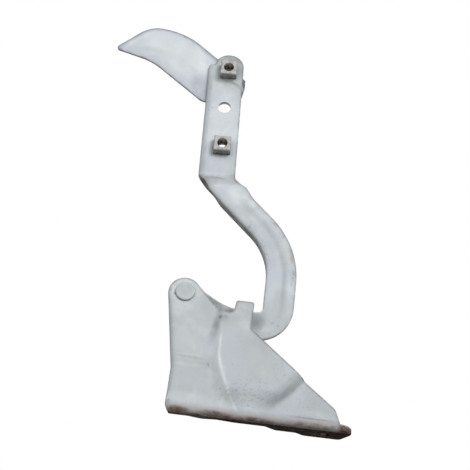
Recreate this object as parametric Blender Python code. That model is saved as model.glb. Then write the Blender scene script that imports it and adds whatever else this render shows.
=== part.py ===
# Hood hinge: a pressed bracket, a gooseneck arm that turns on a rivet, and a blade behind the hood plate.
# X runs to the right along the bracket, Y runs back through the sheets and Z runs up.
# The origin lies on the underside of the base flange, straight below the pivot, in the arm's swing plane.
# The arm and all that it carries are drawn from the pivot, so their heights are rises above its axis.

import math

import bmesh
import bpy
from mathutils import Vector, geometry, kdtree

mm = 0.001

# Clearance between pieces that touch
seatGap = 0.3 * mm

# Sheets, and the stack of pieces on the rivet
bracketSheet = 3.0 * mm
armSheet = 3.5 * mm
bladeSheet = 2.0 * mm
collarLength = 5.4 * mm
bushFlange = 0.8 * mm
washerThickness = 1.5 * mm

# Pivot
pivotHeight = 91.5 * mm
pinRadius = 5.0 * mm
bushWall = 1.7 * mm
bushFlangeRadius = 9.0 * mm
collarRadius = 8.8 * mm
washerRadius = 9.5 * mm
frontHeadRadius = 7.75 * mm
frontHeadHeight = 1.8 * mm
rearHeadRadius = 7.5 * mm
rearHeadHeight = 3.0 * mm
frontHeadEdge = 0.6 * mm
rearHeadEdge = 1.2 * mm

# Bracket's left side: its knee, its rolled edge and its ear round the pivot
earRadius = 12.5 * mm
kneeX = -3.2 * mm
kneeZ = 33.0 * mm
kneeRadius = 14.0 * mm
bottomBend = 7.0 * mm
sideRoll = 4.7 * mm
rollTopDrop = 11.5 * mm
rollTopFade = 16.0 * mm
rollFoot = 16.0 * mm
rollFootFade = 9.0 * mm

# Bracket's reliefs: a pad round the pivot and a raised panel with a shoulder on its right
padRise = 1.5 * mm
padFoot = 38.5 * mm
padFootSlope = 5.0 * mm
panelRise = 4.5 * mm
panelLeft = 27.2 * mm
panelSpreadTop = 47.0 * mm
panelSpread = 16.5 * mm
panelSpreadPower = 1.5
panelLeftSlope = 5.5 * mm
panelFootX = 96.5 * mm
panelFootZ = 33.0 * mm
panelFootAngle = math.radians(47.0)
panelRightSlope = 10.0 * mm
reliefFade = 11.0 * mm

# Base flange: runs of its back edge along X, each with its depth behind the web's front
heelSideDepth = -1.0 * mm
heelTurnX = -0.7 * mm
heelTurnDepth = 6.0 * mm
heelStartX = -0.5 * mm
heelEndX = 14.0 * mm
heelDepth = 11.4 * mm
heelRadius = 2.0 * mm
middleStartX = 24.0 * mm
middleEndX = 71.0 * mm
middleDepth = 15.2 * mm
scallopX = 35.0 * mm
scallopDepth = 12.6 * mm
scallopEndX = 48.0 * mm
scallopRadius = 6.0 * mm
stepStartX = 79.0 * mm
stepEndX = 94.5 * mm
stepDepth = 23.3 * mm
lugStartX = 100.5 * mm
lugEndX = 127.8 * mm
lugDepth = 29.4 * mm
lugRightX = 133.6 * mm
lugSideDepth = 12.0 * mm
lugSideRadius = 8.0 * mm
lugTopRadius = 8.0 * mm
flangeRadius = 4.0 * mm
baseHoleRadius = 4.5 * mm
baseHoleX = 115.0 * mm
baseHoleDepth = 18.5 * mm

# Web's right side: the foot over the lug, the long slope, the tab and the notch beside the ear
webEndX = 124.6 * mm
webEndZ = 4.0 * mm
webEndRadius = 1.2 * mm
toeX = 119.9 * mm
toeZ = 14.5 * mm
toeRadius = 6.0 * mm
slopeFootX = 96.2 * mm
slopeFootZ = 31.6 * mm
nickX = 94.4 * mm
nickZ = 33.6 * mm
slopeRadius = 1.5 * mm
tabFootX = 52.6 * mm
tabFootDrop = 24.3 * mm
tabRightX = 53.4 * mm
tabLeftX = 39.6 * mm
tabTopDrop = 3.3 * mm
tabRadius = 2.2 * mm
notchRightX = 38.4 * mm
notchLeftX = 28.6 * mm
notchDrop = 13.1 * mm
notchRadius = 3.1 * mm

# Arm from its boss through the neck, with rises above the pivot
runAngle = math.radians(-17.2)
bossRadius = 11.75 * mm
bossNotchAngle = math.radians(14.0)
neckOuterX = 83.9 * mm
neckInnerX = 60.3 * mm
outerSweepRise = 53.0 * mm
innerSweepRise = 45.7 * mm
neckBendOuter = 27.5 * mm
neckBendInner = 3.5 * mm
neckInnerDrop = 5.8 * mm
dipX = 36.0 * mm
dipDrop = 8.3 * mm
dipRadius = 55.0 * mm
dipAngle = math.radians(-31.7)
sweepOuter = 72.5 * mm
sweepInner = 50.0 * mm

# Rolled inner edge and the bead along the outer one
edgeBend = 5.0 * mm
flangeDepth = 11.0 * mm
flangeStart = 15.0 * mm
flangeFade = 40.0 * mm
flangeEndDrop = 20.6 * mm
flangeEndFade = 7.0 * mm
beadRise = 1.0 * mm
beadWidth = 12.0 * mm
beadStartX = 40.0 * mm
beadEndDrop = 12.6 * mm
beadFade = 14.0 * mm

# Hood plate, drawn from its foot at the joggle: across to the right and along its length
plateFootX = 13.6 * mm
plateFootRise = 105.1 * mm
plateLean = math.radians(2.5)
plateLeft = -17.6 * mm
plateRight = 12.6 * mm
plateFlangeDepth = 5.8 * mm
foldLeftAlong = 0.2 * mm
foldLeftRadius = 7.0 * mm
foldRightAlong = -0.7 * mm
foldRightRadius = 3.0 * mm
shoulderAcross = 22.2 * mm
shoulderAlong = -6.0 * mm
shoulderRadius = 5.0 * mm
shoulderFootAcross = 28.7 * mm
shoulderFootAlong = -15.9 * mm
shoulderFootRadius = 25.0 * mm
joggleDepth = 5.0 * mm
joggleAlong = -2.2 * mm
joggleLean = math.radians(5.2)
joggleSlope = 9.0 * mm
lowerNutAlong = 27.0 * mm
nutSpacing = 74.0 * mm
upperNutAlong = lowerNutAlong + nutSpacing
plateEndMargin = 17.4 * mm
edgeCutDrop = 9.1 * mm
middleHoleRise = 39.0 * mm
middleHoleAlong = lowerNutAlong + middleHoleRise
middleHoleAcross = -1.0 * mm
middleHoleRadius = 5.4 * mm
boltHoleRadius = 4.4 * mm
topPadRise = 1.5 * mm
topPadDrop = 8.4 * mm
topPadAcross = 2.0 * mm
topPadFall = math.radians(35.8)
topPadSlope = 4.0 * mm

# Weld nuts
nutWidth = 14.0 * mm
nutHeight = 7.2 * mm
nutEdge = 0.7 * mm
nutBoreRadius = 3.4 * mm
nutMouthRadius = 4.2 * mm

# Blade, drawn across and along the hood plate from the upper nut
bladeTipAcross = -102.3 * mm
bladeTipAlong = 21.4 * mm
bladeTipRadius = 3.0 * mm
bladeCrownAcross = -71.8 * mm
bladeCrownAlong = 48.1 * mm
bladeCrownRadius = 25.0 * mm
bladeBrowAcross = -39.7 * mm
bladeBrowAlong = 43.0 * mm
bladeBrowRadius = 66.0 * mm
bladeEndOverhang = 2.5 * mm
bladeEndTop = -3.9 * mm
bladeEndTurn = -11.7 * mm
bladeEndTuck = 0.2 * mm
bladeEndBottom = -24.6 * mm
bladeEndRadius = 2.0 * mm
bladeHeelAcross = -20.3 * mm
bladeHeelAlong = -27.4 * mm
bladeHeelRadius = 12.0 * mm
bladeSweepAcross = -67.7 * mm
bladeSweepAlong = 10.6 * mm
bladeSweepRadius = 52.0 * mm
bladeHoleClearance = 0.8 * mm
bladeStepInset = 7.6 * mm
bladeStepSlope = 6.0 * mm
bladePanelRise = 1.6 * mm
bladePanelInset = 3.6 * mm
bladePanelSlope = 6.0 * mm
upperRim = 6.0 * mm
lowerRim = 9.0 * mm

# Fineness of the facets
bracketGrid = 3.8 * mm
armGrid = 6.5 * mm
bladeGrid = 5.0 * mm
longestSide = 6.0 * mm
creaseSpacing = 5.0 * mm
arcStep = math.radians(14.0)
bendSteps = 4
rollSteps = 5
endSteps = 12
bossSteps = 16
roundSegments = 40
holeSegments = 24
wideHoleSegments = 32
gridClearance = 0.62
creaseClearance = 0.9 * mm
weldDistance = 0.35 * mm
sameRow = 0.02 * mm
samePoint = 0.0001 * mm
flatAngle = 0.02
straightTurn = 0.001
sharpAngle = math.radians(35.0)

# Planes along Y, measured from the swing plane in the middle of the arm's sheet
armFrontY = -armSheet / 2
padBackY = armFrontY - seatGap - collarLength - seatGap
padFrontY = padBackY - bracketSheet
webFrontY = padFrontY + padRise
plateFrontY = armFrontY - joggleDepth
plateBackY = plateFrontY + armSheet
bladeFrontY = plateFrontY + plateFlangeDepth + seatGap
bladeSeatY = plateBackY + seatGap


def clearScene():
    for item in list(bpy.data.objects):
        bpy.data.objects.remove(item, do_unlink=True)


def makeMaterial(name, color, roughness, metallic):
    material = bpy.data.materials.new(name)
    material.use_nodes = True
    shader = material.node_tree.nodes["Principled BSDF"]
    shader.inputs["Base Color"].default_value = (*color, 1.0)
    shader.inputs["Roughness"].default_value = roughness
    shader.inputs["Metallic"].default_value = metallic
    material.diffuse_color = (*color, 1.0)
    return material


def ramp(value):
    """Smooth step from 0 to 1 while value runs from 0 to 1."""
    value = min(max(value, 0.0), 1.0)
    return value * value * (3.0 - 2.0 * value)


def turned(vector, angle):
    across = vector.x * math.cos(angle) - vector.y * math.sin(angle)
    up = vector.x * math.sin(angle) + vector.y * math.cos(angle)
    return Vector((across, up))


def fitRadii(corners, turns, closed):
    """Radii of the fillets, made smaller where two arcs would need more than the side between them."""
    runs = [radius * math.tan(abs(turn) / 2) for (_, _, radius), turn in zip(corners, turns)]
    shares = [1.0] * len(corners)
    for index in range(len(corners) if closed else len(corners) - 1):
        after = (index + 1) % len(corners)
        side = (Vector(corners[after][:2]) - Vector(corners[index][:2])).length
        share = side / max(runs[index] + runs[after], side)
        shares[index] = min(shares[index], share)
        shares[after] = min(shares[after], share)
    return [radius * share for (_, _, radius), share in zip(corners, shares)]


def filletPath(corners, closed):
    """Points of straight lines joined by arcs, with the normal on the left of each point.

    Each corner is (across, up, radius), and its arc touches both lines that meet there."""
    places = [Vector(corner[:2]) for corner in corners]
    ends = places[1:] + (places[:1] if closed else [])
    leaving = [(end - start).normalized() for start, end in zip(places, ends)]
    if closed:
        coming = leaving[-1:] + leaving[:-1]
    else:
        coming = leaving[:1] + leaving
        leaving = leaving + leaving[-1:]
    turns = [math.atan2(one.cross(two), one.dot(two)) for one, two in zip(coming, leaving)]
    radii = fitRadii(corners, turns, closed)
    points = []
    normals = []
    for here, way, turn, radius in zip(places, coming, turns, radii):
        left = Vector((-way.y, way.x))
        if radius == 0.0 or abs(turn) < straightTurn:
            points.append(here)
            normals.append(turned(left, turn / 2))
            continue
        start = here - way * radius * math.tan(abs(turn) / 2)
        centre = start + left * math.copysign(radius, turn)
        steps = max(2, math.ceil(abs(turn) / arcStep))
        for step in range(steps + 1):
            angle = turn * step / steps
            place = centre + turned(start - centre, angle)
            if points and (place - points[-1]).length < samePoint:
                continue  # two arcs that meet share this point
            points.append(place)
            normals.append(turned(left, angle))
    return points, normals


def splitLong(points, normals, closed):
    """Adds points so that no side of the path is longer than longestSide."""
    newPoints = []
    newNormals = []
    sides = len(points) if closed else len(points) - 1
    for index in range(sides):
        after = (index + 1) % len(points)
        parts = max(1, math.ceil((points[after] - points[index]).length / longestSide))
        for part in range(parts):
            newPoints.append(points[index].lerp(points[after], part / parts))
            newNormals.append(normals[index].lerp(normals[after], part / parts).normalized())
    if not closed:
        newPoints.append(points[-1])
        newNormals.append(normals[-1])
    return newPoints, newNormals


def circlePoints(centre, radius, segments):
    points = []
    for step in range(segments):
        angle = 2 * math.pi * (step + 0.5) / segments
        points.append(centre + Vector((math.cos(angle), math.sin(angle))) * radius)
    return points


def isInside(point, outline):
    inside = False
    for index in range(len(outline)):
        a = outline[index - 1]
        b = outline[index]
        if (a.y > point.y) != (b.y > point.y):
            crossing = a.x + (point.y - a.y) * (b.x - a.x) / (b.y - a.y)
            if point.x < crossing:
                inside = not inside
    return inside


def distanceTo(path, point):
    """Shortest distance from the point to an open path."""
    best = math.inf
    for a, b in zip(path, path[1:]):
        side = b - a
        share = min(max((point - a).dot(side) / side.length_squared, 0.0), 1.0)
        best = min(best, (point - a - side * share).length)
    return best


def insidePart(run, outline):
    """The points of a crease that lie within the outline and clear of it."""
    loop = outline + outline[:1]
    return [point for point in run if isInside(point, outline) and distanceTo(loop, point) > creaseClearance]


def sheetBlank(outline, holes, creases, spacing):
    """A flat triangle mesh of the outline less its holes.

    The creases are runs of points that stay edges of the mesh, and the rest is filled at the spacing."""
    points = []
    edges = []
    for loop in [outline] + holes:
        first = len(points)
        points += loop
        edges += [(first + step, first + (step + 1) % len(loop)) for step in range(len(loop))]
    for crease in creases:
        first = len(points)
        points += crease
        edges += [(first + step, first + step + 1) for step in range(len(crease) - 1)]
    tree = kdtree.KDTree(len(points))
    for index, point in enumerate(points):
        tree.insert(point.to_3d(), index)
    tree.balance()
    left = min(point.x for point in outline)
    right = max(point.x for point in outline)
    low = min(point.y for point in outline)
    high = max(point.y for point in outline)
    rowHeight = spacing * math.sqrt(3) / 2
    for row in range(int((high - low) / rowHeight) + 1):
        for column in range(int((right - left) / spacing) + 2):
            point = Vector((left + (column + 0.5 * (row % 2)) * spacing, low + row * rowHeight))
            nearest = tree.find(point.to_3d())[2]
            if nearest > spacing * gridClearance and isInside(point, outline):
                if not any(isInside(point, hole) for hole in holes):
                    points.append(point)
    corners, _, triangles = geometry.delaunay_2d_cdt(points, edges, [], 1, samePoint)[:3]
    blank = bmesh.new()
    verts = [blank.verts.new(corner.to_3d()) for corner in corners]
    for triangle in triangles:
        middle = (corners[triangle[0]] + corners[triangle[1]] + corners[triangle[2]]) / 3
        if isInside(middle, outline) and not any(isInside(middle, hole) for hole in holes):
            blank.faces.new([verts[index] for index in triangle])
    loose = [vert for vert in blank.verts if not vert.link_faces]
    bmesh.ops.delete(blank, geom=loose, context="VERTS")
    return blank


def addObject(name, body, material):
    mesh = bpy.data.meshes.new(name)
    body.to_mesh(mesh)
    body.free()
    mesh.materials.append(material)
    mesh.shade_smooth()
    mesh.set_sharp_from_angle(angle=sharpAngle)
    item = bpy.data.objects.new(name, mesh)
    bpy.context.collection.objects.link(item)
    return item


def finishSheet(name, sheet, thickness, material):
    """Turns an open surface, the front face of a pressing, into a sheet with its thickness behind it."""
    bmesh.ops.remove_doubles(sheet, verts=sheet.verts, dist=weldDistance)
    bmesh.ops.recalc_face_normals(sheet, faces=sheet.faces)
    if sum(face.normal.y * face.calc_area() for face in sheet.faces) > 0:
        bmesh.ops.reverse_faces(sheet, faces=sheet.faces)
    item = addObject(name, sheet, material)
    solidify = item.modifiers.new("Sheet thickness", "SOLIDIFY")
    solidify.thickness = thickness
    solidify.offset = -1.0
    solidify.use_even_offset = True
    return item


def ringSolid(name, rings, material):
    """A closed solid through rings of equal counts of points; a ring of one point closes an end."""
    body = bmesh.new()
    loops = [[body.verts.new(point) for point in ring] for ring in rings]
    pairs = list(zip(loops, loops[1:]))
    if len(rings[0]) > 1:
        pairs.append((loops[-1], loops[0]))
    count = max(len(ring) for ring in rings)
    for one, two in pairs:
        for step in range(count):
            after = (step + 1) % count
            corners = [one[step % len(one)], one[after % len(one)], two[after % len(two)], two[step % len(two)]]
            body.faces.new(list(dict.fromkeys(corners)))
    bmesh.ops.recalc_face_normals(body, faces=body.faces)
    return addObject(name, body, material)


def turnedSolid(name, profile, material):
    """A turned solid about the Y axis; the profile runs round its section as (radius, along Y)."""
    rings = []
    for radius, along in profile:
        steps = roundSegments if radius > 0.0 else 1
        angles = [2 * math.pi * (step + 0.5) / roundSegments for step in range(steps)]
        rings.append([Vector((radius * math.cos(angle), along, radius * math.sin(angle))) for angle in angles])
    return ringSolid(name, rings, material)


# Bracket

def flangeLine(depth):
    """Height on the flat blank of a point of the base flange, given its depth behind the web's front."""
    return bottomBend * (2.0 - math.pi / 2) - depth


def earTangent(point, side):
    """Direction from the point along the line that touches the ear's circle on the given side."""
    gap = Vector((0.0, pivotHeight)) - point
    return turned(gap.normalized(), side * math.asin(earRadius / gap.length))


def leftEdge(up):
    """The bracket's left edge: upright from the base to the knee, then leaning out to the ear."""
    way = earTangent(Vector((kneeX, kneeZ)), 1.0)
    return kneeX + max(up - kneeZ, 0.0) * way.x / way.y


def panelRelief(across, up):
    """Share of the raised panel's height: a soft step on its left, a shoulder with a sharp foot on its right."""
    spread = max(panelSpreadTop - up, 0.0) / (panelSpreadTop - bottomBend)
    left = ramp((across - panelLeft - panelSpread * spread ** panelSpreadPower) / panelLeftSlope + 0.5)
    inset = (up - panelFootZ) * math.cos(panelFootAngle) - (across - panelFootX) * math.sin(panelFootAngle)
    right = math.sin(math.pi / 2 * min(max(inset / panelRightSlope, 0.0), 1.0))
    return left * right


def webRelief(across, up):
    """How far the web stands forward of its base plane."""
    pad = padRise * ramp((up - padFoot) / padFootSlope + 0.5)
    panel = panelRelief(across, up)
    return (pad + (panelRise - pad) * panel) * ramp((up - bottomBend) / reliefFade)


def bracketSurface(across, up):
    """Place on the visible face of a point of the bracket's flat blank."""
    top = 1.0 - ramp((up - pivotHeight + rollTopDrop) / rollTopFade)
    foot = ramp((up - rollFoot + rollFootFade) / rollFootFade)
    rollAngle = math.pi / 2 * top * foot
    inset = across - leftEdge(up)
    back = 0.0
    if inset < sideRoll and rollAngle > flatAngle:
        radius = sideRoll / math.sin(rollAngle)
        bend = rollAngle * (1.0 - inset / sideRoll)
        back = radius * (1.0 - math.cos(bend))
        across = leftEdge(up) + sideRoll - radius * math.sin(bend)
    if up >= bottomBend:
        return Vector((across, webFrontY - webRelief(across, up) + back, up))
    bend = min((bottomBend - up) / bottomBend, math.pi / 2)
    flat = max(flangeLine(bottomBend) - up, 0.0)
    height = bottomBend * (1.0 - math.sin(bend)) if flat == 0.0 else 0.0
    return Vector((across, webFrontY + bottomBend * (1.0 - math.cos(bend)) + flat, height))


def flangeCorners():
    """Corners of the base flange on the blank, from its left side along its back edge to its right side."""
    corners = [(kneeX, heelSideDepth, flangeRadius), (heelTurnX, heelTurnDepth, flangeRadius),
               (heelStartX, heelDepth, heelRadius),
               (heelEndX, heelDepth, flangeRadius), (middleStartX, middleDepth, flangeRadius),
               (scallopX, scallopDepth, scallopRadius), (scallopEndX, middleDepth, scallopRadius),
               (middleEndX, middleDepth, flangeRadius), (stepStartX, stepDepth, flangeRadius),
               (stepEndX, stepDepth, flangeRadius), (lugStartX, lugDepth, flangeRadius),
               (lugEndX, lugDepth, flangeRadius), (lugRightX, lugSideDepth, lugSideRadius)]
    return [(across, flangeLine(depth), radius) for across, depth, radius in corners]


def webCorners():
    """Corners of the web from the lug up its long slope, round the tab and the notch to the ear and the knee.

    The ear's corner is where the two lines that touch its circle meet, from the normals of the lines."""
    tabFoot = pivotHeight - tabFootDrop
    tabTop = pivotHeight - tabTopDrop
    knee = Vector((kneeX, kneeZ))
    notch = Vector((notchLeftX, pivotHeight - notchDrop))
    right = turned(earTangent(notch, -1.0), -math.pi / 2)
    left = turned(earTangent(knee, 1.0), math.pi / 2)
    ear = Vector((0.0, pivotHeight)) + (right + left) * earRadius / (1.0 + right.dot(left))
    return [(lugRightX, webEndZ, lugTopRadius), (webEndX, webEndZ, webEndRadius), (toeX, toeZ, toeRadius),
            (slopeFootX, slopeFootZ, slopeRadius), (nickX, nickZ, slopeRadius), (tabFootX, tabFoot, slopeRadius),
            (tabRightX, tabTop, tabRadius), (tabLeftX, tabTop, tabRadius), (notchRightX, notch.y, notchRadius),
            (notch.x, notch.y, notchRadius), (ear.x, ear.y, earRadius), (knee.x, knee.y, kneeRadius)]


def splitAtRows(points, rows):
    """Adds a point wherever the outline crosses one of the level rows."""
    result = []
    for index, here in enumerate(points):
        after = points[(index + 1) % len(points)]
        result.append(here)
        shares = [(row - here.y) / (after.y - here.y) for row in rows if (here.y - row) * (after.y - row) < 0.0]
        result += [here.lerp(after, share) for share in sorted(shares)]
    return result


def rowCrease(points, row):
    """A straight run of points across the blank on one row."""
    ends = sorted((point for point in points if abs(point.y - row) < sameRow), key=lambda point: point.x)
    parts = max(1, math.ceil((ends[-1].x - ends[0].x) / longestSide))
    return [ends[0].lerp(ends[-1], part / parts) for part in range(parts + 1)]


def buildBracket(material):
    points, normals = filletPath(flangeCorners() + webCorners(), True)
    points = splitLong(points, normals, True)[0]
    bendRows = [bottomBend * (1.0 - math.pi / 2 * step / bendSteps) for step in range(bendSteps + 1)]
    points = splitAtRows(points, bendRows)
    creases = [rowCrease(points, row) for row in bendRows]
    rollEnd = pivotHeight - rollTopDrop + rollTopFade
    levels = math.ceil((rollEnd - 2 * bottomBend) / creaseSpacing)
    ups = [rollEnd - creaseSpacing * level for level in range(levels)]
    for step in range(1, bendSteps + 1):
        inset = sideRoll * step / bendSteps
        creases.append(insidePart([Vector((leftEdge(up) + inset, up)) for up in ups], points))
    pinHole = circlePoints(Vector((0.0, pivotHeight)), pinRadius + seatGap, roundSegments)
    baseHole = circlePoints(Vector((baseHoleX, flangeLine(baseHoleDepth))), baseHoleRadius, holeSegments)
    blank = sheetBlank(points, [pinHole, baseHole], creases, bracketGrid)
    for vert in blank.verts:
        vert.co = bracketSurface(vert.co.x, vert.co.y)
    return finishSheet("base_bracket", blank, bracketSheet, material)


# Arm

def platePoint(across, along):
    """Place in the arm's plane of a point of the hood plate."""
    return Vector((plateFootX, plateFootRise)) + turned(Vector((across, along)), plateLean)


def onPlate(point):
    """How far across and along the hood plate a point of the arm's plane lies."""
    return turned(point - Vector((plateFootX, plateFootRise)), -plateLean)


def armOuterPath():
    """Outer edge from under the boss, round the neck and up to the plate's round end."""
    start = turned(Vector((0.0, -bossRadius)), runAngle)
    neck = start.y + (neckOuterX - start.x) * math.tan(runAngle)
    foot = platePoint(shoulderFootAcross, shoulderFootAlong)
    shoulder = platePoint(shoulderAcross, shoulderAlong)
    fold = platePoint(plateRight, foldRightAlong)
    end = platePoint(plateRight, plateTop() - plateEndRadius())
    corners = [(start.x, start.y, 0.0), (neckOuterX, neck, neckBendOuter), (neckOuterX, outerSweepRise, sweepOuter),
               (foot.x, foot.y, shoulderFootRadius), (shoulder.x, shoulder.y, shoulderRadius),
               (fold.x, fold.y, foldRightRadius), (end.x, end.y, 0.0)]
    return splitLong(*filletPath(corners, False), False)


def armInnerPath():
    """Inner edge from beside the boss, through the dip and the inside of the neck, up the plate's left side."""
    start = -dipDrop + (flangeStart - dipX) * math.tan(dipAngle)
    fold = platePoint(plateLeft, foldLeftAlong)
    end = platePoint(plateLeft, plateTop() - edgeCutDrop)
    corners = [(flangeStart, start, 0.0), (dipX, -dipDrop, dipRadius), (neckInnerX, -neckInnerDrop, neckBendInner),
               (neckInnerX, innerSweepRise, sweepInner), (fold.x, fold.y, foldLeftRadius), (end.x, end.y, 0.0)]
    return splitLong(*filletPath(corners, False), False)


def plateTop():
    return upperNutAlong + plateEndMargin


def plateEndRadius():
    """The plate's flat, right of the rolled left edge, ends in a half circle."""
    return (plateRight - plateLeft - edgeBend) / 2


def plateEndArc():
    """The round end, from the right side to the cut end of the rolled left edge."""
    radius = plateEndRadius()
    centreAlong = plateTop() - radius
    last = math.pi - math.asin((radius - edgeCutDrop) / radius)
    points = []
    for step in range(1, endSteps + 1):
        angle = last * step / endSteps
        points.append(platePoint(plateRight - radius + radius * math.cos(angle),
                                 centreAlong + radius * math.sin(angle)))
    return points


def bossArc():
    """Round end of the arm about the pivot, from the start of the rolled edge to the lower side."""
    last = 1.5 * math.pi + runAngle
    angles = [bossNotchAngle + (last - bossNotchAngle) * step / bossSteps for step in range(bossSteps)]
    return [turned(Vector((bossRadius, 0.0)), angle) for angle in angles]


def joggleLine(across):
    """How far along the plate the middle of the joggle's slope lies."""
    return joggleAlong + math.tan(joggleLean) * across


def topPadShare(place):
    """Share of the raised pad under the upper nut, which ends in a step that falls to the right."""
    foot = upperNutAlong - topPadDrop - math.tan(topPadFall) * max(place.x - topPadAcross, 0.0)
    side = ramp((place.x - plateLeft) / edgeBend - 1.0)
    return ramp((place.y - foot) / topPadSlope + 0.5) * side


def beadShare(point, outerPath):
    """Share of the stiffening bead that follows the outer edge."""
    reach = distanceTo(outerPath, point)
    if reach >= beadWidth:
        return 0.0
    ends = ramp((plateFootRise - beadEndDrop - point.y) / beadFade)
    if point.y < 0.0:
        ends *= ramp((point.x - beadStartX) / beadFade)
    return math.sin(math.pi * reach / beadWidth) ** 2 * ends


def armSurface(point, outerPath):
    """Place of the front face over a point of the arm's plane."""
    place = onPlate(point)
    forward = joggleDepth * ramp((place.y - joggleLine(place.x)) / joggleSlope + 0.5)
    forward += topPadRise * topPadShare(place) + beadRise * beadShare(point, outerPath)
    return Vector((point.x, armFrontY - forward, point.y))


def rolledDepth(point):
    """Depth of the turned-back inner edge: full along the neck, shallow beside the boss and the plate."""
    near = ramp((point.x - flangeStart) / flangeFade) if point.y < 0.0 else 1.0
    far = 1.0 - ramp((point.y - plateFootRise + flangeEndDrop) / flangeEndFade)
    return plateFlangeDepth + (flangeDepth - plateFlangeDepth) * near * far


def buildArm(material):
    outerPoints, outerNormals = armOuterPath()
    innerPoints, innerNormals = armInnerPath()
    foldPoints = [point - normal * edgeBend for point, normal in zip(innerPoints, innerNormals)]
    outline = outerPoints + plateEndArc() + foldPoints[::-1] + bossArc()
    bushHole = pinRadius + seatGap + bushWall + seatGap
    holes = [circlePoints(Vector((0.0, 0.0)), bushHole, roundSegments),
             circlePoints(platePoint(0.0, lowerNutAlong), boltHoleRadius, holeSegments),
             circlePoints(platePoint(0.0, upperNutAlong), boltHoleRadius, holeSegments),
             circlePoints(platePoint(middleHoleAcross, middleHoleAlong), middleHoleRadius, wideHoleSegments)]
    creases = []
    reach = math.ceil((shoulderAcross - plateLeft) / creaseSpacing)
    for step in range(bendSteps + 1):
        lift = joggleSlope * (step / bendSteps - 0.5)
        acrosses = [plateLeft + creaseSpacing * column for column in range(reach)]
        creases.append(insidePart([platePoint(across, joggleLine(across) + lift) for across in acrosses], outline))
    for step in range(1, bendSteps + 1):
        inset = beadWidth * step / bendSteps
        run = [point + normal * inset for point, normal in zip(outerPoints, outerNormals)]
        creases.append([point for point in run if point.x > beadStartX and point.y < plateFootRise - beadEndDrop])
    sheet = sheetBlank(outline, holes, creases, armGrid)
    for vert in sheet.verts:
        vert.co = armSurface(vert.co.xy, outerPoints)
    addRolledEdge(sheet, innerPoints, innerNormals, outerPoints)
    return finishSheet("hinge_arm", sheet, armSheet, material)


def addRolledEdge(sheet, innerPoints, innerNormals, outerPoints):
    """The inner edge turned back: a quarter bend, then a straight flange."""
    rows = []
    for point, normal in zip(innerPoints, innerNormals):
        row = []
        for step in range(rollSteps + 1):
            angle = math.pi / 2 * step / rollSteps
            place = armSurface(point - normal * edgeBend * (1.0 - math.sin(angle)), outerPoints)
            row.append(place + Vector((0.0, edgeBend * (1.0 - math.cos(angle)), 0.0)))
        row.append(armSurface(point, outerPoints) + Vector((0.0, rolledDepth(point), 0.0)))
        rows.append([sheet.verts.new(place) for place in row])
    for one, two in zip(rows, rows[1:]):
        for step in range(len(one) - 1):
            sheet.faces.new((one[step], one[step + 1], two[step + 1], two[step]))


# Blade

def bladePoint(across, along):
    """Place in the arm's plane of a point that is measured from the upper nut."""
    return platePoint(across, upperNutAlong + along)


def bladeOutline():
    """The upper edge from the tip over the crown to the end behind the plate, then the lower edge back."""
    corners = [(bladeTipAcross, bladeTipAlong, bladeTipRadius),
               (bladeCrownAcross, bladeCrownAlong, bladeCrownRadius),
               (bladeBrowAcross, bladeBrowAlong, bladeBrowRadius),
               (plateRight + bladeEndOverhang, bladeEndTop, bladeEndRadius),
               (plateRight + bladeEndOverhang, bladeEndTurn, bladeEndRadius),
               (plateRight - bladeEndTuck, bladeEndBottom, bladeEndRadius),
               (bladeHeelAcross, bladeHeelAlong, bladeHeelRadius),
               (bladeSweepAcross, bladeSweepAlong, bladeSweepRadius)]
    places = [(*bladePoint(across, along), radius) for across, along, radius in corners]
    points = splitLong(*filletPath(places, True), True)[0]
    end = min(range(len(points)), key=lambda index: -points[index].x)
    return points[:end + 1], points[end:] + points[:1]


def bladeSurface(point, upper, lower):
    """The blade steps forward behind the plate, and its panel stands forward of the rims."""
    across = onPlate(point).x
    seated = ramp((across - plateLeft - bladeStepInset) / bladeStepSlope + 0.5)
    inner = ramp(distanceTo(upper, point) / upperRim) * ramp(distanceTo(lower, point) / lowerRim)
    raised = bladePanelRise * inner * (1.0 - ramp((across - plateLeft + bladePanelInset) / bladePanelSlope + 1.0))
    depth = bladeFrontY + (bladeSeatY - bladeFrontY) * seated
    return Vector((point.x, depth - raised, point.y))


def buildBlade(material):
    upper, lower = bladeOutline()
    hole = circlePoints(bladePoint(0.0, 0.0), boltHoleRadius + bladeHoleClearance, holeSegments)
    blank = sheetBlank(upper[:-1] + lower[:-1], [hole], [], bladeGrid)
    for vert in blank.verts:
        vert.co = bladeSurface(vert.co.xy, upper, lower)
    return finishSheet("wing_plate", blank, bladeSheet, material)


# Weld nuts and pivot stack

def nutRing(reachOf, along):
    """A ring about the nut's axis, its radius a function of the angle."""
    angles = [2 * math.pi * step / roundSegments for step in range(roundSegments)]
    return [Vector((reachOf(angle) * math.cos(angle), along, reachOf(angle) * math.sin(angle))) for angle in angles]


def squareReach(halfWidth):
    return lambda angle: halfWidth / max(abs(math.cos(angle)), abs(math.sin(angle)))


def roundReach(radius):
    return lambda angle: radius


def buildNut(name, along, seatY, material):
    """A square weld nut with a chamfered front and a countersunk mouth, its back just off the plate."""
    half = nutWidth / 2
    front = -nutHeight
    mouth = nutMouthRadius - nutBoreRadius
    rings = [nutRing(squareReach(half), 0.0), nutRing(squareReach(half), front + nutEdge),
             nutRing(squareReach(half - nutEdge), front), nutRing(roundReach(nutMouthRadius), front),
             nutRing(roundReach(nutBoreRadius), front + mouth), nutRing(roundReach(nutBoreRadius), 0.0)]
    item = ringSolid(name, rings, material)
    place = platePoint(0.0, along)
    item.location = (place.x, seatY - seatGap, place.y)
    item.rotation_euler = (0.0, -plateLean, 0.0)
    return item


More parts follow.
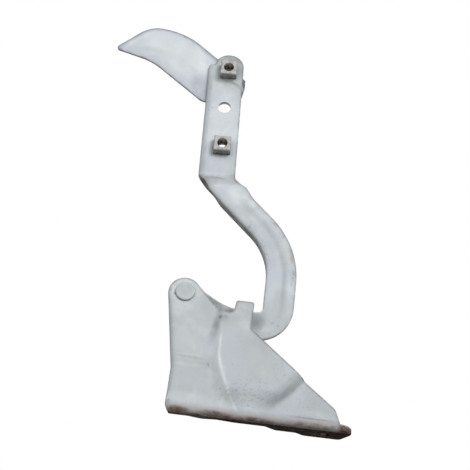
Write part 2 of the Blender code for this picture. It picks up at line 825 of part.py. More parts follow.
def buildPivot(material):
    """Rivet, collar and rear washer, which stay with the bracket."""
    headBack = padFrontY - seatGap
    headFront = headBack - frontHeadHeight
    bushBack = armSheet / 2 + seatGap + bushFlange
    washerFront = bushBack + seatGap
    washerBack = washerFront + washerThickness
    tailFront = washerBack + seatGap
    tailBack = tailFront + rearHeadHeight
    rivet = turnedSolid("pivot_rivet", [(0.0, headFront), (frontHeadRadius - frontHeadEdge, headFront),
                                        (frontHeadRadius, headFront + frontHeadEdge), (frontHeadRadius, headBack),
                                        (pinRadius, headBack), (pinRadius, tailFront), (rearHeadRadius, tailFront),
                                        (rearHeadRadius, tailBack - rearHeadEdge),
                                        (rearHeadRadius - rearHeadEdge, tailBack), (0.0, tailBack)], material)
    bore = pinRadius + seatGap
    collarFront = padBackY + seatGap
    collarBack = collarFront + collarLength
    collar = turnedSolid("spacer_collar", [(bore, collarFront), (collarRadius, collarFront),
                                           (collarRadius, collarBack), (bore, collarBack)], material)
    washer = turnedSolid("rear_washer", [(bore, washerFront), (washerRadius, washerFront),
                                         (washerRadius, washerBack), (bore, washerBack)], material)
    for item in (rivet, collar, washer):
        item.location = (0.0, 0.0, pivotHeight)


def buildBush(material):
    """Flanged bush that turns with the arm on the rivet."""
    bore = pinRadius + seatGap
    sleeve = bore + bushWall
    flangeFront = armSheet / 2 + seatGap
    flangeBack = flangeFront + bushFlange
    return turnedSolid("pivot_bush", [(bore, armFrontY), (sleeve, armFrontY), (sleeve, flangeFront),
                                      (bushFlangeRadius, flangeFront), (bushFlangeRadius, flangeBack),
                                      (bore, flangeBack)], material)


def main():
    clearScene()
    bracketPaint = makeMaterial("bracket_paint", (0.50, 0.53, 0.56), 0.45, 0.0)
    armPaint = makeMaterial("arm_paint", (0.56, 0.59, 0.63), 0.42, 0.0)
    bladePaint = makeMaterial("blade_paint", (0.63, 0.67, 0.72), 0.38, 0.0)
    rivetPaint = makeMaterial("rivet_paint", (0.47, 0.49, 0.51), 0.5, 0.0)
    bushBronze = makeMaterial("bush_bronze", (0.55, 0.38, 0.18), 0.35, 1.0)
    nutPaint = makeMaterial("nut_paint", (0.55, 0.58, 0.60), 0.5, 0.0)

    buildBracket(bracketPaint)
    buildPivot(rivetPaint)

    pivot = bpy.data.objects.new("arm_pivot", None)
    pivot.location = (0.0, 0.0, pivotHeight)
    bpy.context.collection.objects.link(pivot)
    moving = [buildArm(armPaint), buildBush(bushBronze), buildBlade(bladePaint),
              buildNut("weld_nut_lower", lowerNutAlong, plateFrontY, nutPaint),
              buildNut("weld_nut_upper", upperNutAlong, plateFrontY - topPadRise, nutPaint)]
    for item in moving:
        item.parent = pivot


main()
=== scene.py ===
from math import asin, ceil, copysign, cos, pi, radians, sin, sqrt, tan
import bmesh
import bpy
import numpy as np
from mathutils import Matrix, Vector, geometry


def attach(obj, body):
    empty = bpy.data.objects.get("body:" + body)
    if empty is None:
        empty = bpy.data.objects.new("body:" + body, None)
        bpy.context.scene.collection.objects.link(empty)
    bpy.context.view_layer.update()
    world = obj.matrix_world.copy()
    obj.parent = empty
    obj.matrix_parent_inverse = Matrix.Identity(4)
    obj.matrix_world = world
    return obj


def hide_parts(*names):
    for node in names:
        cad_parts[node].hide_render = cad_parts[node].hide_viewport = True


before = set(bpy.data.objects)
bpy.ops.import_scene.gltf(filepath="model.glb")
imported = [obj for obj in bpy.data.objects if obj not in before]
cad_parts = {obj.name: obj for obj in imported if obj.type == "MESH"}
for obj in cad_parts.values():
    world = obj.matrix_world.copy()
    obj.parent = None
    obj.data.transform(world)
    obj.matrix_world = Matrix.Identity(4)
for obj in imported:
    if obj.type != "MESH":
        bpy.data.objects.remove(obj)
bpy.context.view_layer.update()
print("frame loaded:", len(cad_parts), "nodes")

mm = 0.001  # settings are in millimetres and the scene in metres

# Camera and light

cameraSettings = {
    "place": (43.88, -661.39, -160.67),
    "tilt": 25,  # looks up, because the web faces down towards the lens
    "turn": 2,
    "roll": 6.5,
    "focalPixels": 915,
    "imagePixels": 470,
    "sensor": 36,
}

lightSettings = {
    "target": (10, 0, 170),
    "lamps": {"key": {"place": (620, -1400, 650), "size": 800, "power": 15.5},
              "fill": {"place": (-900, -1300, 400), "size": 1200, "power": 6.0},
              "back": {"place": (250, 900, 900), "size": 900, "power": 7.0}},
    "skyStrength": 0.4,
    "floorDrop": 350,
    "floorSize": 6000,
    "floorColor": "F4F4F2",
    "floorBounce": "6A6A69",
    "floorRoughness": 0.9,
}


def hexToLinear(code):
    # each sRGB channel c becomes c / 12.92 when dark, and ((c + 0.055) / 1.055) to the power 2.4 otherwise
    channels = np.array([int(code[i:i + 2], 16) for i in (0, 2, 4)]) / 255.0
    linear = np.where(channels <= 0.04045, channels / 12.92, ((channels + 0.055) / 1.055) ** 2.4)
    return (*linear.tolist(), 1.0)


def addNode(tree, kind, settings=None, **links):
    # settings name the node's own values; links give inputs, by name or as i0, i1, a socket or a constant
    node = tree.nodes.new("ShaderNode" + kind)
    for name, value in (settings or {}).items():
        setattr(node, name, value)
    for name, value in links.items():
        key = int(name[1:]) if name[0] == "i" and name[1:].isdigit() else name.replace("_", " ")
        if isinstance(value, bpy.types.NodeSocket):
            tree.links.new(value, node.inputs[key])
        else:
            node.inputs[key].default_value = value
    return node


def newObject(name, data):
    item = bpy.data.objects.new(name, data)
    bpy.context.collection.objects.link(item)
    return item


def newMaterial(name):
    material = bpy.data.materials.new(name)
    material.use_nodes = True
    return material, material.node_tree, material.node_tree.nodes["Principled BSDF"]


def makeCamera(settings):
    # forward leans up from +Y by tilt, in a frame rolled about +Y, and then turns about that frame's up
    tilt, turn, roll = (radians(settings[name]) for name in ("tilt", "turn", "roll"))
    up = Vector((-sin(roll), 0.0, cos(roll)))
    right = Vector((cos(roll), 0.0, sin(roll)))
    back = Vector((0.0, 1.0, 0.0))
    forward = back * cos(tilt) + up * sin(tilt)
    top = up * cos(tilt) - back * sin(tilt)
    swing = Matrix.Rotation(-turn, 3, up)
    axes = Matrix((swing @ right, swing @ top, -(swing @ forward))).transposed()
    data = bpy.data.cameras.new("viewCamera")
    data.sensor_width = settings["sensor"]
    data.lens = settings["sensor"] * settings["focalPixels"] / settings["imagePixels"]
    camera = newObject("viewCamera", data)
    camera.matrix_world = Matrix.Translation(Vector(settings["place"]) * mm) @ axes.to_4x4()
    bpy.context.scene.camera = camera


def makeLights(settings):
    target = Vector(settings["target"]) * mm
    for name, own in settings["lamps"].items():
        data = bpy.data.lights.new(name + "Lamp", "AREA")
        data.shape = "DISK"
        data.size = own["size"] * mm
        data.energy = own["power"]
        lamp = newObject(name + "Lamp", data)
        lamp.location = Vector(own["place"]) * mm
        lamp.rotation_euler = (target - lamp.location).to_track_quat("-Z", "Y").to_euler()


def directRay(tree):
    # 1 for what the lens sees, straight or in a mirror or through glass, and 0 for light on the piece
    path = addNode(tree, "LightPath")
    seen = addNode(tree, "Math", {"operation": "MAXIMUM"},
                   i0=path.outputs["Is Camera Ray"], i1=path.outputs["Is Glossy Ray"])
    return addNode(tree, "Math", {"operation": "MAXIMUM"},
                   i0=seen.outputs[0], i1=path.outputs["Is Transmission Ray"]).outputs[0]


def makeWorld(settings):
    world = bpy.data.worlds.new("paleStudio")
    bpy.context.scene.world = world
    world.use_nodes = True
    tree = world.node_tree
    tree.nodes.clear()
    level = addNode(tree, "MapRange", Value=directRay(tree),
                    To_Min=settings["skyStrength"], To_Max=1.0)
    sky = addNode(tree, "Background", Color=(1.0, 1.0, 1.0, 1.0), Strength=level.outputs[0])
    addNode(tree, "OutputWorld", Surface=sky.outputs[0])


def makeFloor(settings):
    # pale to the lens, and greyer as a source of light from below
    half = settings["floorSize"] * mm / 2
    drop = -settings["floorDrop"] * mm
    mesh = bpy.data.meshes.new("studioFloor")
    mesh.from_pydata([(-half, -half, drop), (half, -half, drop), (half, half, drop), (-half, half, drop)],
                     [], [(0, 1, 2, 3)])
    material, tree, shader = newMaterial("matteFloorPaint")
    color = addNode(tree, "Mix", {"data_type": "RGBA"}, i0=directRay(tree),
                    i6=hexToLinear(settings["floorBounce"]), i7=hexToLinear(settings["floorColor"]))
    tree.links.new(color.outputs[2], shader.inputs["Base Color"])
    shader.inputs["Roughness"].default_value = settings["floorRoughness"]
    mesh.materials.append(material)
    floor = newObject("studioFloor", mesh)


makeCamera(cameraSettings)
makeLights(lightSettings)
makeWorld(lightSettings)
makeFloor(lightSettings)
bpy.context.scene.view_settings.view_transform = "Standard"
print("camera, lamps and floor set")

# Finishes

# what every coat shares
enamel = {"band": (0.42, 0.62), "detail": 3.0, "noiseRoughness": 0.6, "liftStrength": 0.6, "index": 1.5,
          "gloss": 0.35, "fineDetail": 2.0, "sheenGrain": 14.0, "sheenSwing": 0.08, "peelGrain": 1.8,
          "peelStrength": 0.3, "peelHeight": 0.05}


def sprayedEnamel(name, settings):
    # Grey enamel sprayed over pressed steel and aged: it gives a chalky soft sheen and a fine orange peel.
    # Each layer lays a colour over the last, where its own noise is high and its mark on the piece allows.
    material, tree, shader = newMaterial(name)
    place = addNode(tree, "TexCoord").outputs["Object"]
    color, normal = hexToLinear(settings["color"]), None
    for layer in settings["layers"]:
        noise = addNode(tree, "TexNoise", Vector=place, Scale=1.0 / (layer["grain"] * mm),
                        Detail=layer.get("detail", enamel["detail"]), Roughness=enamel["noiseRoughness"])
        low, high = layer.get("band", enamel["band"])
        least, most = layer["shares"]
        share = addNode(tree, "MapRange", {"interpolation_type": "SMOOTHSTEP"},
                        i0=noise.outputs["Fac"], i1=low, i2=high, i3=least, i4=most).outputs[0]
        if layer["mark"]:
            mark = addNode(tree, "Attribute", {"attribute_name": layer["mark"]})
            share = addNode(tree, "Math", {"operation": "MULTIPLY"},
                            i0=share, i1=mark.outputs["Fac"]).outputs[0]
        color = addNode(tree, "Mix", {"data_type": "RGBA"}, i0=share, i6=color,
                        i7=hexToLinear(layer["color"])).outputs[2]
        if "lift" in layer:
            below = {"Normal": normal} if normal else {}
            normal = addNode(tree, "Bump", Strength=enamel["liftStrength"],
                             Distance=layer["lift"] * mm, Height=share, **below).outputs[0]
    tree.links.new(color, shader.inputs["Base Color"])
    sheen, peel = (addNode(tree, "TexNoise", Vector=place, Scale=1.0 / (enamel[grain] * mm),
                           Detail=enamel["fineDetail"]).outputs["Fac"] for grain in ("sheenGrain", "peelGrain"))
    least, most = (settings["roughness"] + side * enamel["sheenSwing"] for side in (-1, 1))
    rough = addNode(tree, "MapRange", Value=sheen, To_Min=least, To_Max=most)
    tree.links.new(rough.outputs[0], shader.inputs["Roughness"])
    shader.inputs["IOR"].default_value = enamel["index"]
    shader.inputs["Specular IOR Level"].default_value = settings.get("gloss", enamel["gloss"])
    below = {"Normal": normal} if normal else {}
    bump = addNode(tree, "Bump", Strength=enamel["peelStrength"],
                   Distance=enamel["peelHeight"] * mm, Height=peel, **below)
    tree.links.new(bump.outputs[0], shader.inputs["Normal"])
    return material


def layerOf(color, grain, shares, mark=None, **more):
    # patches of a grain in millimetres that cover from the least to the most share, times the piece's mark
    return {"color": color, "grain": grain, "shares": shares, "mark": mark, **more}


cloudLayers = [
    layerOf("AAAFB0", 34, (0, 0.5)),
    layerOf("B9C0CC", 46, (0, 0.45), detail=2),
    layerOf("D6DADB", 19, (0, 0.4), band=(0.5, 0.7)),
    layerOf("8A8682", 1.6, (0, 0.3), band=(0.64, 0.76), detail=2),
]
# a lighter coat: painted light on the ridge, the slopes, the joggle and the fold lines, with some paler patches of
# paint
paintedLightLayer = layerOf("E6EAEB", 8, (0.6, 1), "paleAndPaintedLight")
# a darker coat: painted shade in valleys, on sloping shoulders and edges, beside the tab and behind the notch, with
# some real soiling
grimeAndShadeLayer = layerOf("7E8382", 9, (0.6, 1), "grimeAndPaintedShade")
edgeLayers = [
    # dark edges: wear on the sheet's edges, with painted shade where they turn away from the light
    layerOf("4E4B49", 7, (0.25, 0.75), "edgeWearAndShade", band=(0.3, 0.6)),
    # dark spots: soiling and scratches, with painted shadows round the nuts and painted shade in the dimple, along
    # steps and where the blade shows beside the plate
    layerOf("55504C", 2, (0.4, 0.9), "dirtAndPaintedShade", band=(0.3, 0.6)),
]

armPaint = sprayedEnamel("sprayedEnamelArm", {"color": "C4CACF", "roughness": 0.5, "layers": cloudLayers + [
    paintedLightLayer,
    layerOf("9B908A", 3.2, (0, 0.85), "wear", band=(0.36, 0.66), detail=4),
    grimeAndShadeLayer,
    # a dark coat on the rolled edge: soiling with painted shade below the plate, and a painted shadow where it meets
    # the blade
    layerOf("5E5A57", 6, (0.55, 1), "fold", band=(0.3, 0.65)),
] + edgeLayers})

bracketLayers = cloudLayers + [
    paintedLightLayer,
    layerOf("7C7772", 1.8, (0, 0.4), "specks", band=(0.52, 0.7), detail=2),
    grimeAndShadeLayer,
    layerOf("D2C9C6", 6, (0.5, 1), "rustPale"),
    layerOf("8A756B", 7, (0.35, 1), "rustDeep", band=(0.3, 0.56), detail=4, lift=-0.15),
    layerOf("5A4A42", 5, (0, 0.85), "rustDeep", band=(0.44, 0.62), detail=5, lift=0.12),
    # a very dark coat under the base flange: dark rust with painted shade
    layerOf("20140F", 5, (0.8, 1), "blackRustAndShade", band=(0.25, 0.5), detail=4),
    layerOf("86705F", 3, (0.2, 0.9), "bare", band=(0.35, 0.6), detail=4),
] + edgeLayers
bracketPaint = sprayedEnamel("sprayedEnamelBracket", {"color": "BCC2C5", "roughness": 0.52, "layers": bracketLayers})
# the same coat rusted through under the base flange: dull and rough, with no sheen left
flangeRust = sprayedEnamel("rustedEnamelFlange", {"color": "BCC2C5", "roughness": 0.85, "gloss": 0.05,
                                                  "layers": bracketLayers})

bladePaint = sprayedEnamel("sprayedEnamelBlade", {"color": "D3D9DD", "roughness": 0.46, "layers": [
    layerOf("BFC6C9", 34, (0, 0.5)),
    layerOf("C6CCD8", 46, (0, 0.5), detail=2),
    layerOf("8A8682", 1.6, (0, 0.25), band=(0.66, 0.78), detail=2),
    paintedLightLayer,
    # a darker coat: painted shade along the sloping edges and in zones across the panel
    layerOf("9799A6", 12, (0.75, 1), "grimeAndPaintedShade"),
] + edgeLayers})

nutPaint = sprayedEnamel("sprayedEnamelNut", {"color": "B6B5B4", "roughness": 0.5, "layers": [
    layerOf("8F8C8A", 4, (0, 0.7)),
    layerOf("CDCCCC", 3, (0, 0.6), band=(0.48, 0.68)),
    # a darker coat towards the nut's back: painted shade on its sides
    layerOf("5A5450", 2.5, (0.45, 1), "grimeAndPaintedShade", band=(0.3, 0.6)),
]})

rivetPaint = sprayedEnamel("sprayedEnamelRivet", {"color": "C2C7CA", "roughness": 0.52, "layers": [
    layerOf("AEB3B4", 14, (0, 0.5)),
    layerOf("7C7772", 1.6, (0, 0.35), band=(0.64, 0.74)),
    # a darker coat on the head's rounded edge: painted shade
    layerOf("4C4845", 3, (0.5, 1), "grimeAndPaintedShade", band=(0.3, 0.6)),
]})


def bareMetal(name, settings):
    # unpainted metal with a cut sheen, stained by old oil in its roots and pores
    material, tree, shader = newMaterial(name)
    place = addNode(tree, "TexCoord").outputs["Object"]
    noise = addNode(tree, "TexNoise", Vector=place, Scale=1.0 / (settings["grain"] * mm),
                    Detail=settings["detail"])
    color = addNode(tree, "Mix", {"data_type": "RGBA"}, i0=noise.outputs["Fac"],
                    i6=hexToLinear(settings["color"]), i7=hexToLinear(settings["stain"]))
    tree.links.new(color.outputs[2], shader.inputs["Base Color"])
    shader.inputs["Metallic"].default_value = 1.0
    shader.inputs["Roughness"].default_value = settings["roughness"]
    return material


# steel left bare by the tap in a nut's bore: grey, with dark oil in the thread's roots
threadSteel = bareMetal("tappedSteelThread", {"color": "8E8A86", "stain": "3A3532", "grain": 1.6, "detail": 4.0,
                                              "roughness": 0.3})
# sintered bronze of a plain bush: dull yellow-brown with open pores
bushBronze = bareMetal("sinteredBronzeBush", {"color": "A9854C", "stain": "6B5230", "grain": 0.9, "detail": 4.0,
                                              "roughness": 0.45})
print("finishes made")

# Sheets

meshing = {
    "straightTurn": 0.001,  # a corner that turns by fewer radians stays one point
    "arcPoints": 3, "arcDensity": 5.0,  # the fewest points of an arc, and of each radian of it
    "edgeRoom": 0.6,  # how near the grid comes to an edge, in its own spacing
    "joinGap": 1e-5, "noLength": 1e-12,
    "sheetWeld": 0.2, "turnedWeld": 0.002,  # points nearer than this become one, in millimetres
    "edgeSteps": 3, "edgeAngle": 55.0, "sharpAngle": 32.0,
    "edgeWearAndShadeReach": 0.9,  # how far the edges' wear and painted shade reach in, in millimetres
}


def smoothStep(value):
    # 3 t squared less 2 t cubed, with t kept between 0 and 1
    t = np.clip(value, 0.0, 1.0)
    return t * t * (3.0 - 2.0 * t)


def fadeIn(value, edge):
    # an edge is where a smooth step starts and its length, which is negative where it runs downwards
    start, length = edge
    return smoothStep((value - start) / length)


def bell(value, width):
    # e to the power of minus the square of the value in widths
    return np.exp(-(value / width) ** 2)


def turnPoints(points, angle):
    # x cos a less z sin a, and x sin a plus z cos a
    c, s = np.cos(angle), np.sin(angle)
    return np.stack([points[..., 0] * c - points[..., 1] * s, points[..., 0] * s + points[..., 1] * c], axis=-1)


def roundedLine(corners, closed, step):
    # Straight lines joined by arcs that touch both of them, cut no longer than step, with normals on the left.
    # A radius shrinks where two arcs would need more than the side between them.
    places, radii = np.array(corners, float)[:, :2], np.array(corners, float)[:, 2]
    sides = np.roll(places, -1, axis=0) - places
    lengths = np.linalg.norm(sides, axis=1)
    leaving = sides / lengths[:, None]
    coming = np.roll(leaving, 1, axis=0)
    if not closed:
        coming[0], leaving[-1] = leaving[0], coming[-1]
    turns = np.arctan2(coming[:, 0] * leaving[:, 1] - coming[:, 1] * leaving[:, 0], (coming * leaving).sum(axis=1))
    runs = radii * np.tan(np.abs(turns) / 2)
    shares = lengths / np.maximum(runs + np.roll(runs, -1), lengths)
    shares[-1] = shares[-1] if closed else 1.0
    radii = radii * np.minimum(shares, np.roll(shares, 1))
    arcs = []
    for here, way, turn, radius in zip(places, coming, turns, radii):
        left = turnPoints(way, pi / 2)
        if radius == 0.0 or abs(turn) < meshing["straightTurn"]:
            arcs.append((here[None], turnPoints(left, turn / 2)[None]))
            continue
        start = here - way * radius * tan(abs(turn) / 2)
        centre = start + left * copysign(radius, turn)
        density = max(radius / step, meshing["arcDensity"])
        count = max(meshing["arcPoints"], ceil(abs(turn) * density) + 1)
        angles = np.linspace(0.0, turn, count)
        arcs.append((centre + turnPoints(start - centre, angles), turnPoints(left, angles)))
    points, normals = [], []
    for index, (arc, arcNormals) in enumerate(arcs):
        points.append(arc)
        normals.append(arcNormals)
        if closed or index < len(arcs) - 1:
            start, end = arc[-1], arcs[(index + 1) % len(arcs)][0][0]
            parts = max(1, ceil(np.linalg.norm(end - start) / step))
            points.append(start + (np.arange(1, parts) / parts)[:, None] * (end - start))
            normals.append(np.repeat(turnPoints(leaving[index], pi / 2)[None], parts - 1, axis=0))
    return np.vstack(points), np.vstack(normals)


def ringOf(centre, radius, count):
    # the centre plus the radius times the cosine and sine of even angles
    angles = 2 * pi * (np.arange(count) + 0.5) / count
    return np.array(centre) + radius * np.stack([np.cos(angles), np.sin(angles)], axis=1)


def insideOf(points, outline):
    # a point is inside where a level ray from it crosses the outline an odd number of times
    inside = np.zeros(len(points), bool)
    for (ax, ay), (bx, by) in zip(outline, np.roll(outline, -1, axis=0)):
        if ay != by:
            crossing = ax + (points[:, 1] - ay) * (bx - ax) / (by - ay)
            inside ^= ((ay > points[:, 1]) != (by > points[:, 1])) & (points[:, 0] < crossing)
    return inside


def distanceTo(points, line):
    # the shortest distance from each point to the sides of an open line
    best = np.full(len(points), np.inf)
    for start, end in zip(line[:-1], line[1:]):
        side = end - start
        share = np.clip((points - start) @ side / max(side @ side, meshing["noLength"]), 0.0, 1.0)
        best = np.minimum(best, np.linalg.norm(points - start - share[:, None] * side, axis=1))
    return best


def closeLoop(line):
    return np.vstack([line, line[:1]])


def spotMark(points, spots):
    # A spot is x, z, half width, half height, turn and strength.
    # The mark is strength times e to the power of minus r to the fourth, r being the distance in half sizes.
    best = np.zeros(len(points))
    for x, z, wide, tall, turn, strength in spots:
        own = turnPoints(points - np.array([x, z]), -radians(turn)) / np.array([wide, tall])
        best = np.maximum(best, strength * np.exp(-(own ** 2).sum(axis=1) ** 2))
    return best


def rimMark(points, line, width):
    # 1 on the line, falling as a bell of the distance
    return bell(distanceTo(points, line), width)


def pieceMarks(points, marks, edgeWearAndShade):
    # the spots of every mark, and the edge band of wear and painted shade
    return {**{name: spotMark(points, spots) for name, spots in marks.items()}, "edgeWearAndShade": edgeWearAndShade}


def roundBump(x, z, bump):
    # A bump is x, z, radius and height: the height times e to the power of minus the squared distance in radii.
    middleX, middleZ, radius, height = bump
    return height * np.exp(-((x - middleX) ** 2 + (z - middleZ) ** 2) / radius ** 2)


def sheetGrid(outline, holes, creases, spacing):
    # a three-way grid over the outline less its holes, joined to edges and creases by a Delaunay triangulation
    loops = [outline] + holes
    edges, first = [], 0
    for line in loops + creases:
        own = first + np.arange(len(line))
        pairs = np.stack([own, np.roll(own, -1)], axis=1)
        edges += (pairs if first < sum(map(len, loops)) else pairs[:-1]).tolist()
        first += len(line)
    low, high = outline.min(axis=0), outline.max(axis=0)
    rise = spacing * sqrt(0.75)  # the height of an even triangle
    rows = np.arange(int((high[1] - low[1]) / rise) + 1)
    columns = np.arange(int((high[0] - low[0]) / spacing) + 2)
    x = low[0] + (columns[None, :] + 0.5 * (rows[:, None] % 2)) * spacing
    z = np.broadcast_to(low[1] + rows[:, None] * rise, x.shape)
    grid = np.stack([x.ravel(), z.ravel()], axis=1)
    grid = grid[insideOf(grid, outline)]
    for line in [closeLoop(loop) for loop in loops] + creases:
        grid = grid[distanceTo(grid, line) > meshing["edgeRoom"] * spacing]
    for hole in holes:
        grid = grid[~insideOf(grid, hole)]
    points = [Vector(point) for point in np.vstack(loops + creases + [grid]).tolist()]
    corners, _, triangles = geometry.delaunay_2d_cdt(points, edges, [], 1, meshing["joinGap"])[:3]
    corners, triangles = np.array(corners), np.array(triangles)
    middles = corners[triangles].mean(axis=1)
    keep = insideOf(middles, outline)
    for hole in holes:
        keep &= ~insideOf(middles, hole)
    return corners, triangles[keep]


def newMesh(name, points, faces, marks, material, weld):
    # points in millimetres; loose points go, doubles closer than weld are merged and faces made to agree
    mesh = bpy.data.meshes.new(name)
    mesh.from_pydata((points * mm).tolist(), [], faces)
    for mark, values in marks.items():
        layer = mesh.attributes.new(mark, "FLOAT", "POINT")
        layer.data.foreach_set("value", np.asarray(values, np.float32))
    body = bmesh.new()
    body.from_mesh(mesh)
    bmesh.ops.delete(body, geom=[vert for vert in body.verts if not vert.link_faces], context="VERTS")
    bmesh.ops.remove_doubles(body, verts=body.verts, dist=weld * mm)
    bmesh.ops.recalc_face_normals(body, faces=body.faces)
    if any(edge.is_boundary for edge in body.edges):
        if sum(face.normal.y * face.calc_area() for face in body.faces) > 0:
            bmesh.ops.reverse_faces(body, faces=body.faces)
    body.to_mesh(mesh)
    body.free()
    mesh.shade_smooth()
    mesh.materials.append(material)
    return newObject(name, mesh)


def gridFaces(rows, columns, closed):
    # four-sided faces between each row of points and the next
    i, j = np.meshgrid(np.arange(rows - 1), np.arange(columns if closed else columns - 1), indexing="ij")
    after = (j + 1) % columns
    corners = [i * columns + j, i * columns + after, (i + 1) * columns + after, (i + 1) * columns + j]
    return np.stack(corners, axis=-1).reshape(-1, 4)


def makeSheet(name, points, faces, marks, settings, material):
    # the visible face, with the metal's thickness behind it and its edges rounded
    item = newMesh(name, points, faces, marks, material, meshing["sheetWeld"])
    wall = item.modifiers.new("thickness", "SOLIDIFY")
    wall.thickness = settings["sheet"] * mm
    wall.offset = -1.0
    wall.use_even_offset = True
    edge = item.modifiers.new("roundedEdges", "BEVEL")
    edge.width = settings["edgeRound"] * mm
    edge.segments = meshing["edgeSteps"]
    edge.limit_method = "ANGLE"
    edge.angle_limit = radians(meshing["edgeAngle"])
    edge.harden_normals = True
    return item


def faceMiddles(item):
    # in millimetres
    middles = np.empty(3 * len(item.data.polygons))
    item.data.polygons.foreach_get("center", middles)
    return middles.reshape(-1, 3) / mm


def coverFaces(item, material, chosen):
    # a second material on the chosen faces
    item.data.materials.append(material)
    item.data.polygons.foreach_set("material_index", chosen.astype(np.int32))


def seatPiece(item, node, body):
    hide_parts(node)
    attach(item, body)


# Depths, in millimetres from the swing plane in the middle of the arm's sheet

stack = {"pivotHeight": 91.5, "web": -9.25, "armFront": -1.75, "plateFront": -6.75, "bladeFront": -0.65,
         "bladeSeat": -2.95, "headBack": -11.05, "tailFront": 4.95}

# Bracket

bracketSettings = {
    "sheet": 3, "edgeRound": 0.5, "grid": 1.1, "earRadius": 12.5,
    "earCentre": (-0.5, 90.3), "kneeX": -3.2, "kneeZ": 33, "kneeRadius": 14,
    "bend": 7, "sideRoll": 4.7, "rollTop": 80, "rollTopFade": 16, "rollFoot": 16, "rollFootFade": 9,
    "leastRoll": 0.02,  # radians of the rolled edge, which keep its radius finite
    "panelRise": 4.5, "ridge": 31, "spreadTop": 47, "spread": 16.5, "spreadPower": 1.5, "leftSlope": 6.5,
    "leftSpread": 8, "footX": 96.5, "footZ": 33, "footAngle": 47, "rightSlope": 10,
    "padRise": 1.5, "padFoot": 38.5, "padFootSlope": 12, "reliefFade": 16,
    "pinHole": 5.3, "pinSides": 64, "baseHole": (115, 18.5, 4.5), "baseSides": 40,
    "creases": (0.2, 1, 5), "creaseRoom": 0.7,  # lines along the rolled edge, in shares of its width
    "crest": 0.3, "crestWidth": 1.3, "crestTop": (52, 14),  # the bright ridge where the panel leaves the web
    # a painted highlight along the ridge and painted light on the slope left of it: strengths, widths, their fade at
    # the foot and its least share
    "ridgeHighlight": 0.95, "ridgeWidth": 1, "slopeLight": 0.5, "highlightFoot": (12, 25), "highlightLeast": 0.8,
    # upper edges of the paler rust and of the very dark rust with painted shade, the dark one's left edge, and the
    # height of the dull coat
    "rustTop": (6, -3.5), "blackTop": (-2.2, -2.6), "blackLeft": (12, 22), "blackLeast": 0.25, "dullTop": 1.2,
    # a dimple and three dents: x, z, radius, depth
    "dents": ((28.7, 73.7, 1.9, 0.7), (65.6, 7.2, 2.4, 0.3), (80.5, 10.5, 2, 0.3), (25.2, 64.9, 2.6, 0.3)),
    # back edge of the base flange: x, depth behind the web's front, radius
    "flange": ((-3.2, -1, 4), (-0.7, 6, 4), (-0.5, 11.4, 2), (14, 11.4, 4), (24, 15.2, 4),
               (35, 12.6, 6), (48, 15.2, 6), (71, 15.2, 4), (79, 23.3, 4), (94.5, 23.3, 4),
               (100.5, 29.4, 4), (127.8, 29.4, 4), (133.6, 12, 8)),
    # web from the lug up its slope, round the tab and to the notch beside the ear: x, z, radius
    "web": ((133.6, 4, 8), (124.6, 4, 1.2), (120.2, 14.8, 6), (96.9, 32.2, 1.5), (95, 34.3, 1.5),
            (52.6, 67.2, 1.5), (53.4, 88.2, 2.2), (39.6, 88.2, 2.2), (38.4, 78.4, 3.1), (28.6, 78.4, 3.1)),
}

bracketMarks = {  # x and height up the flat blank
    # spots of soiling and scratches with painted shade in the dimple and along the steps; darker spots, mostly
    # painted shade in the valley and on the panel's shoulder; lighter spots, mostly painted light below the step and
    # on slopes
    "dirtAndPaintedShade": ((28.7, 73.7, 1.6, 1.2, 0, 0.75), (33.2, 74.2, 1.6, 0.9, 0, 0.3), (24.4, 36.9, 0.6, 1.9, 8, 0.6),
             (-0.9, 6.4, 1, 2, 0, 0.6), (-7.6, 89, 0.9, 1.3, 30, 0.8), (-11.2, 92, 1.2, 1.6, 0, 0.4),
             (119.7, 1.6, 1.4, 1.2, 0, 0.7), (102, 6.2, 18, 0.6, -1, 0.5), (10, 40.8, 14, 0.6, -1, 0.3)),
    "grimeAndPaintedShade": ((25.6, 64, 2.8, 12, -8, 0.55), (85, 23, 15, 3.2, 50, 0.5),
              (46, 84, 9, 8, 0, 0.1), (108, 20, 16, 9, -35, 0.12), (29.5, 73, 6, 3, 0, 0.3),
              (88, 33, 5, 4, 45, 0.2), (75, 14, 7, 4, 45, 0.45), (60, 48, 20, 16, -40, 0.1)),
    "paleAndPaintedLight": ((10, 35.6, 14, 1.8, -1, 0.35), (10, 40, 15, 4, 0, 0.3), (12, 11, 20, 4, 0, 0.3),
             (57, 15, 11, 7, 0, 0.45), (38, 10, 5, 6, 0, 0.3), (-2, 88, 15, 17, 0, 0.42),
             (8, 62, 14, 20, 0, 0.15), (110, 9, 12, 3, -8, 0.2)),
    "specks": ((56, 18, 24, 11, 0, 1), (100, 14, 18, 8, -30, 0.5),
               (82, 36, 16, 6, -40, 0.5)),
    "rustDeep": ((5.5, 1, 8.5, 3, 0, 0.85), (34.5, 0.2, 11.5, 3, -3, 0.95), (64, -0.8, 13.5, 2.6, -2, 1),
                 (104, 0.4, 15, 2.6, -3, 0.6), (20, -2.4, 6, 1.6, 0, 0.9), (86, -1.8, 12, 1.8, 0, 0.35),
                 (129, 0, 6, 6, 0, 1), (48, -2.6, 8, 1.4, 0, 0.8), (12, -1.5, 14, 1.6, 0, 0.4),
                 (8, -6.5, 18, 5, 0, 1)),
    "bare": ((114.5, -20.1, 11.5, 1.7, -23, 0.9), (91, -9.7, 8, 1.2, 0, 0.6), (60, -6.5, 9, 0.8, 0, 0.5)),
}


def flangeLine(depth, s):
    # where a point of the base flange lies on the flat blank, below the bend's own length
    return s["bend"] * (2.0 - pi / 2) - depth


def earTangent(point, side, s):
    # the way to the ear's centre, turned by the angle whose sine is the ear's radius over the distance
    gap = np.array(s["earCentre"]) - point
    length = np.linalg.norm(gap)
    return turnPoints(gap / length, side * asin(s["earRadius"] / length))


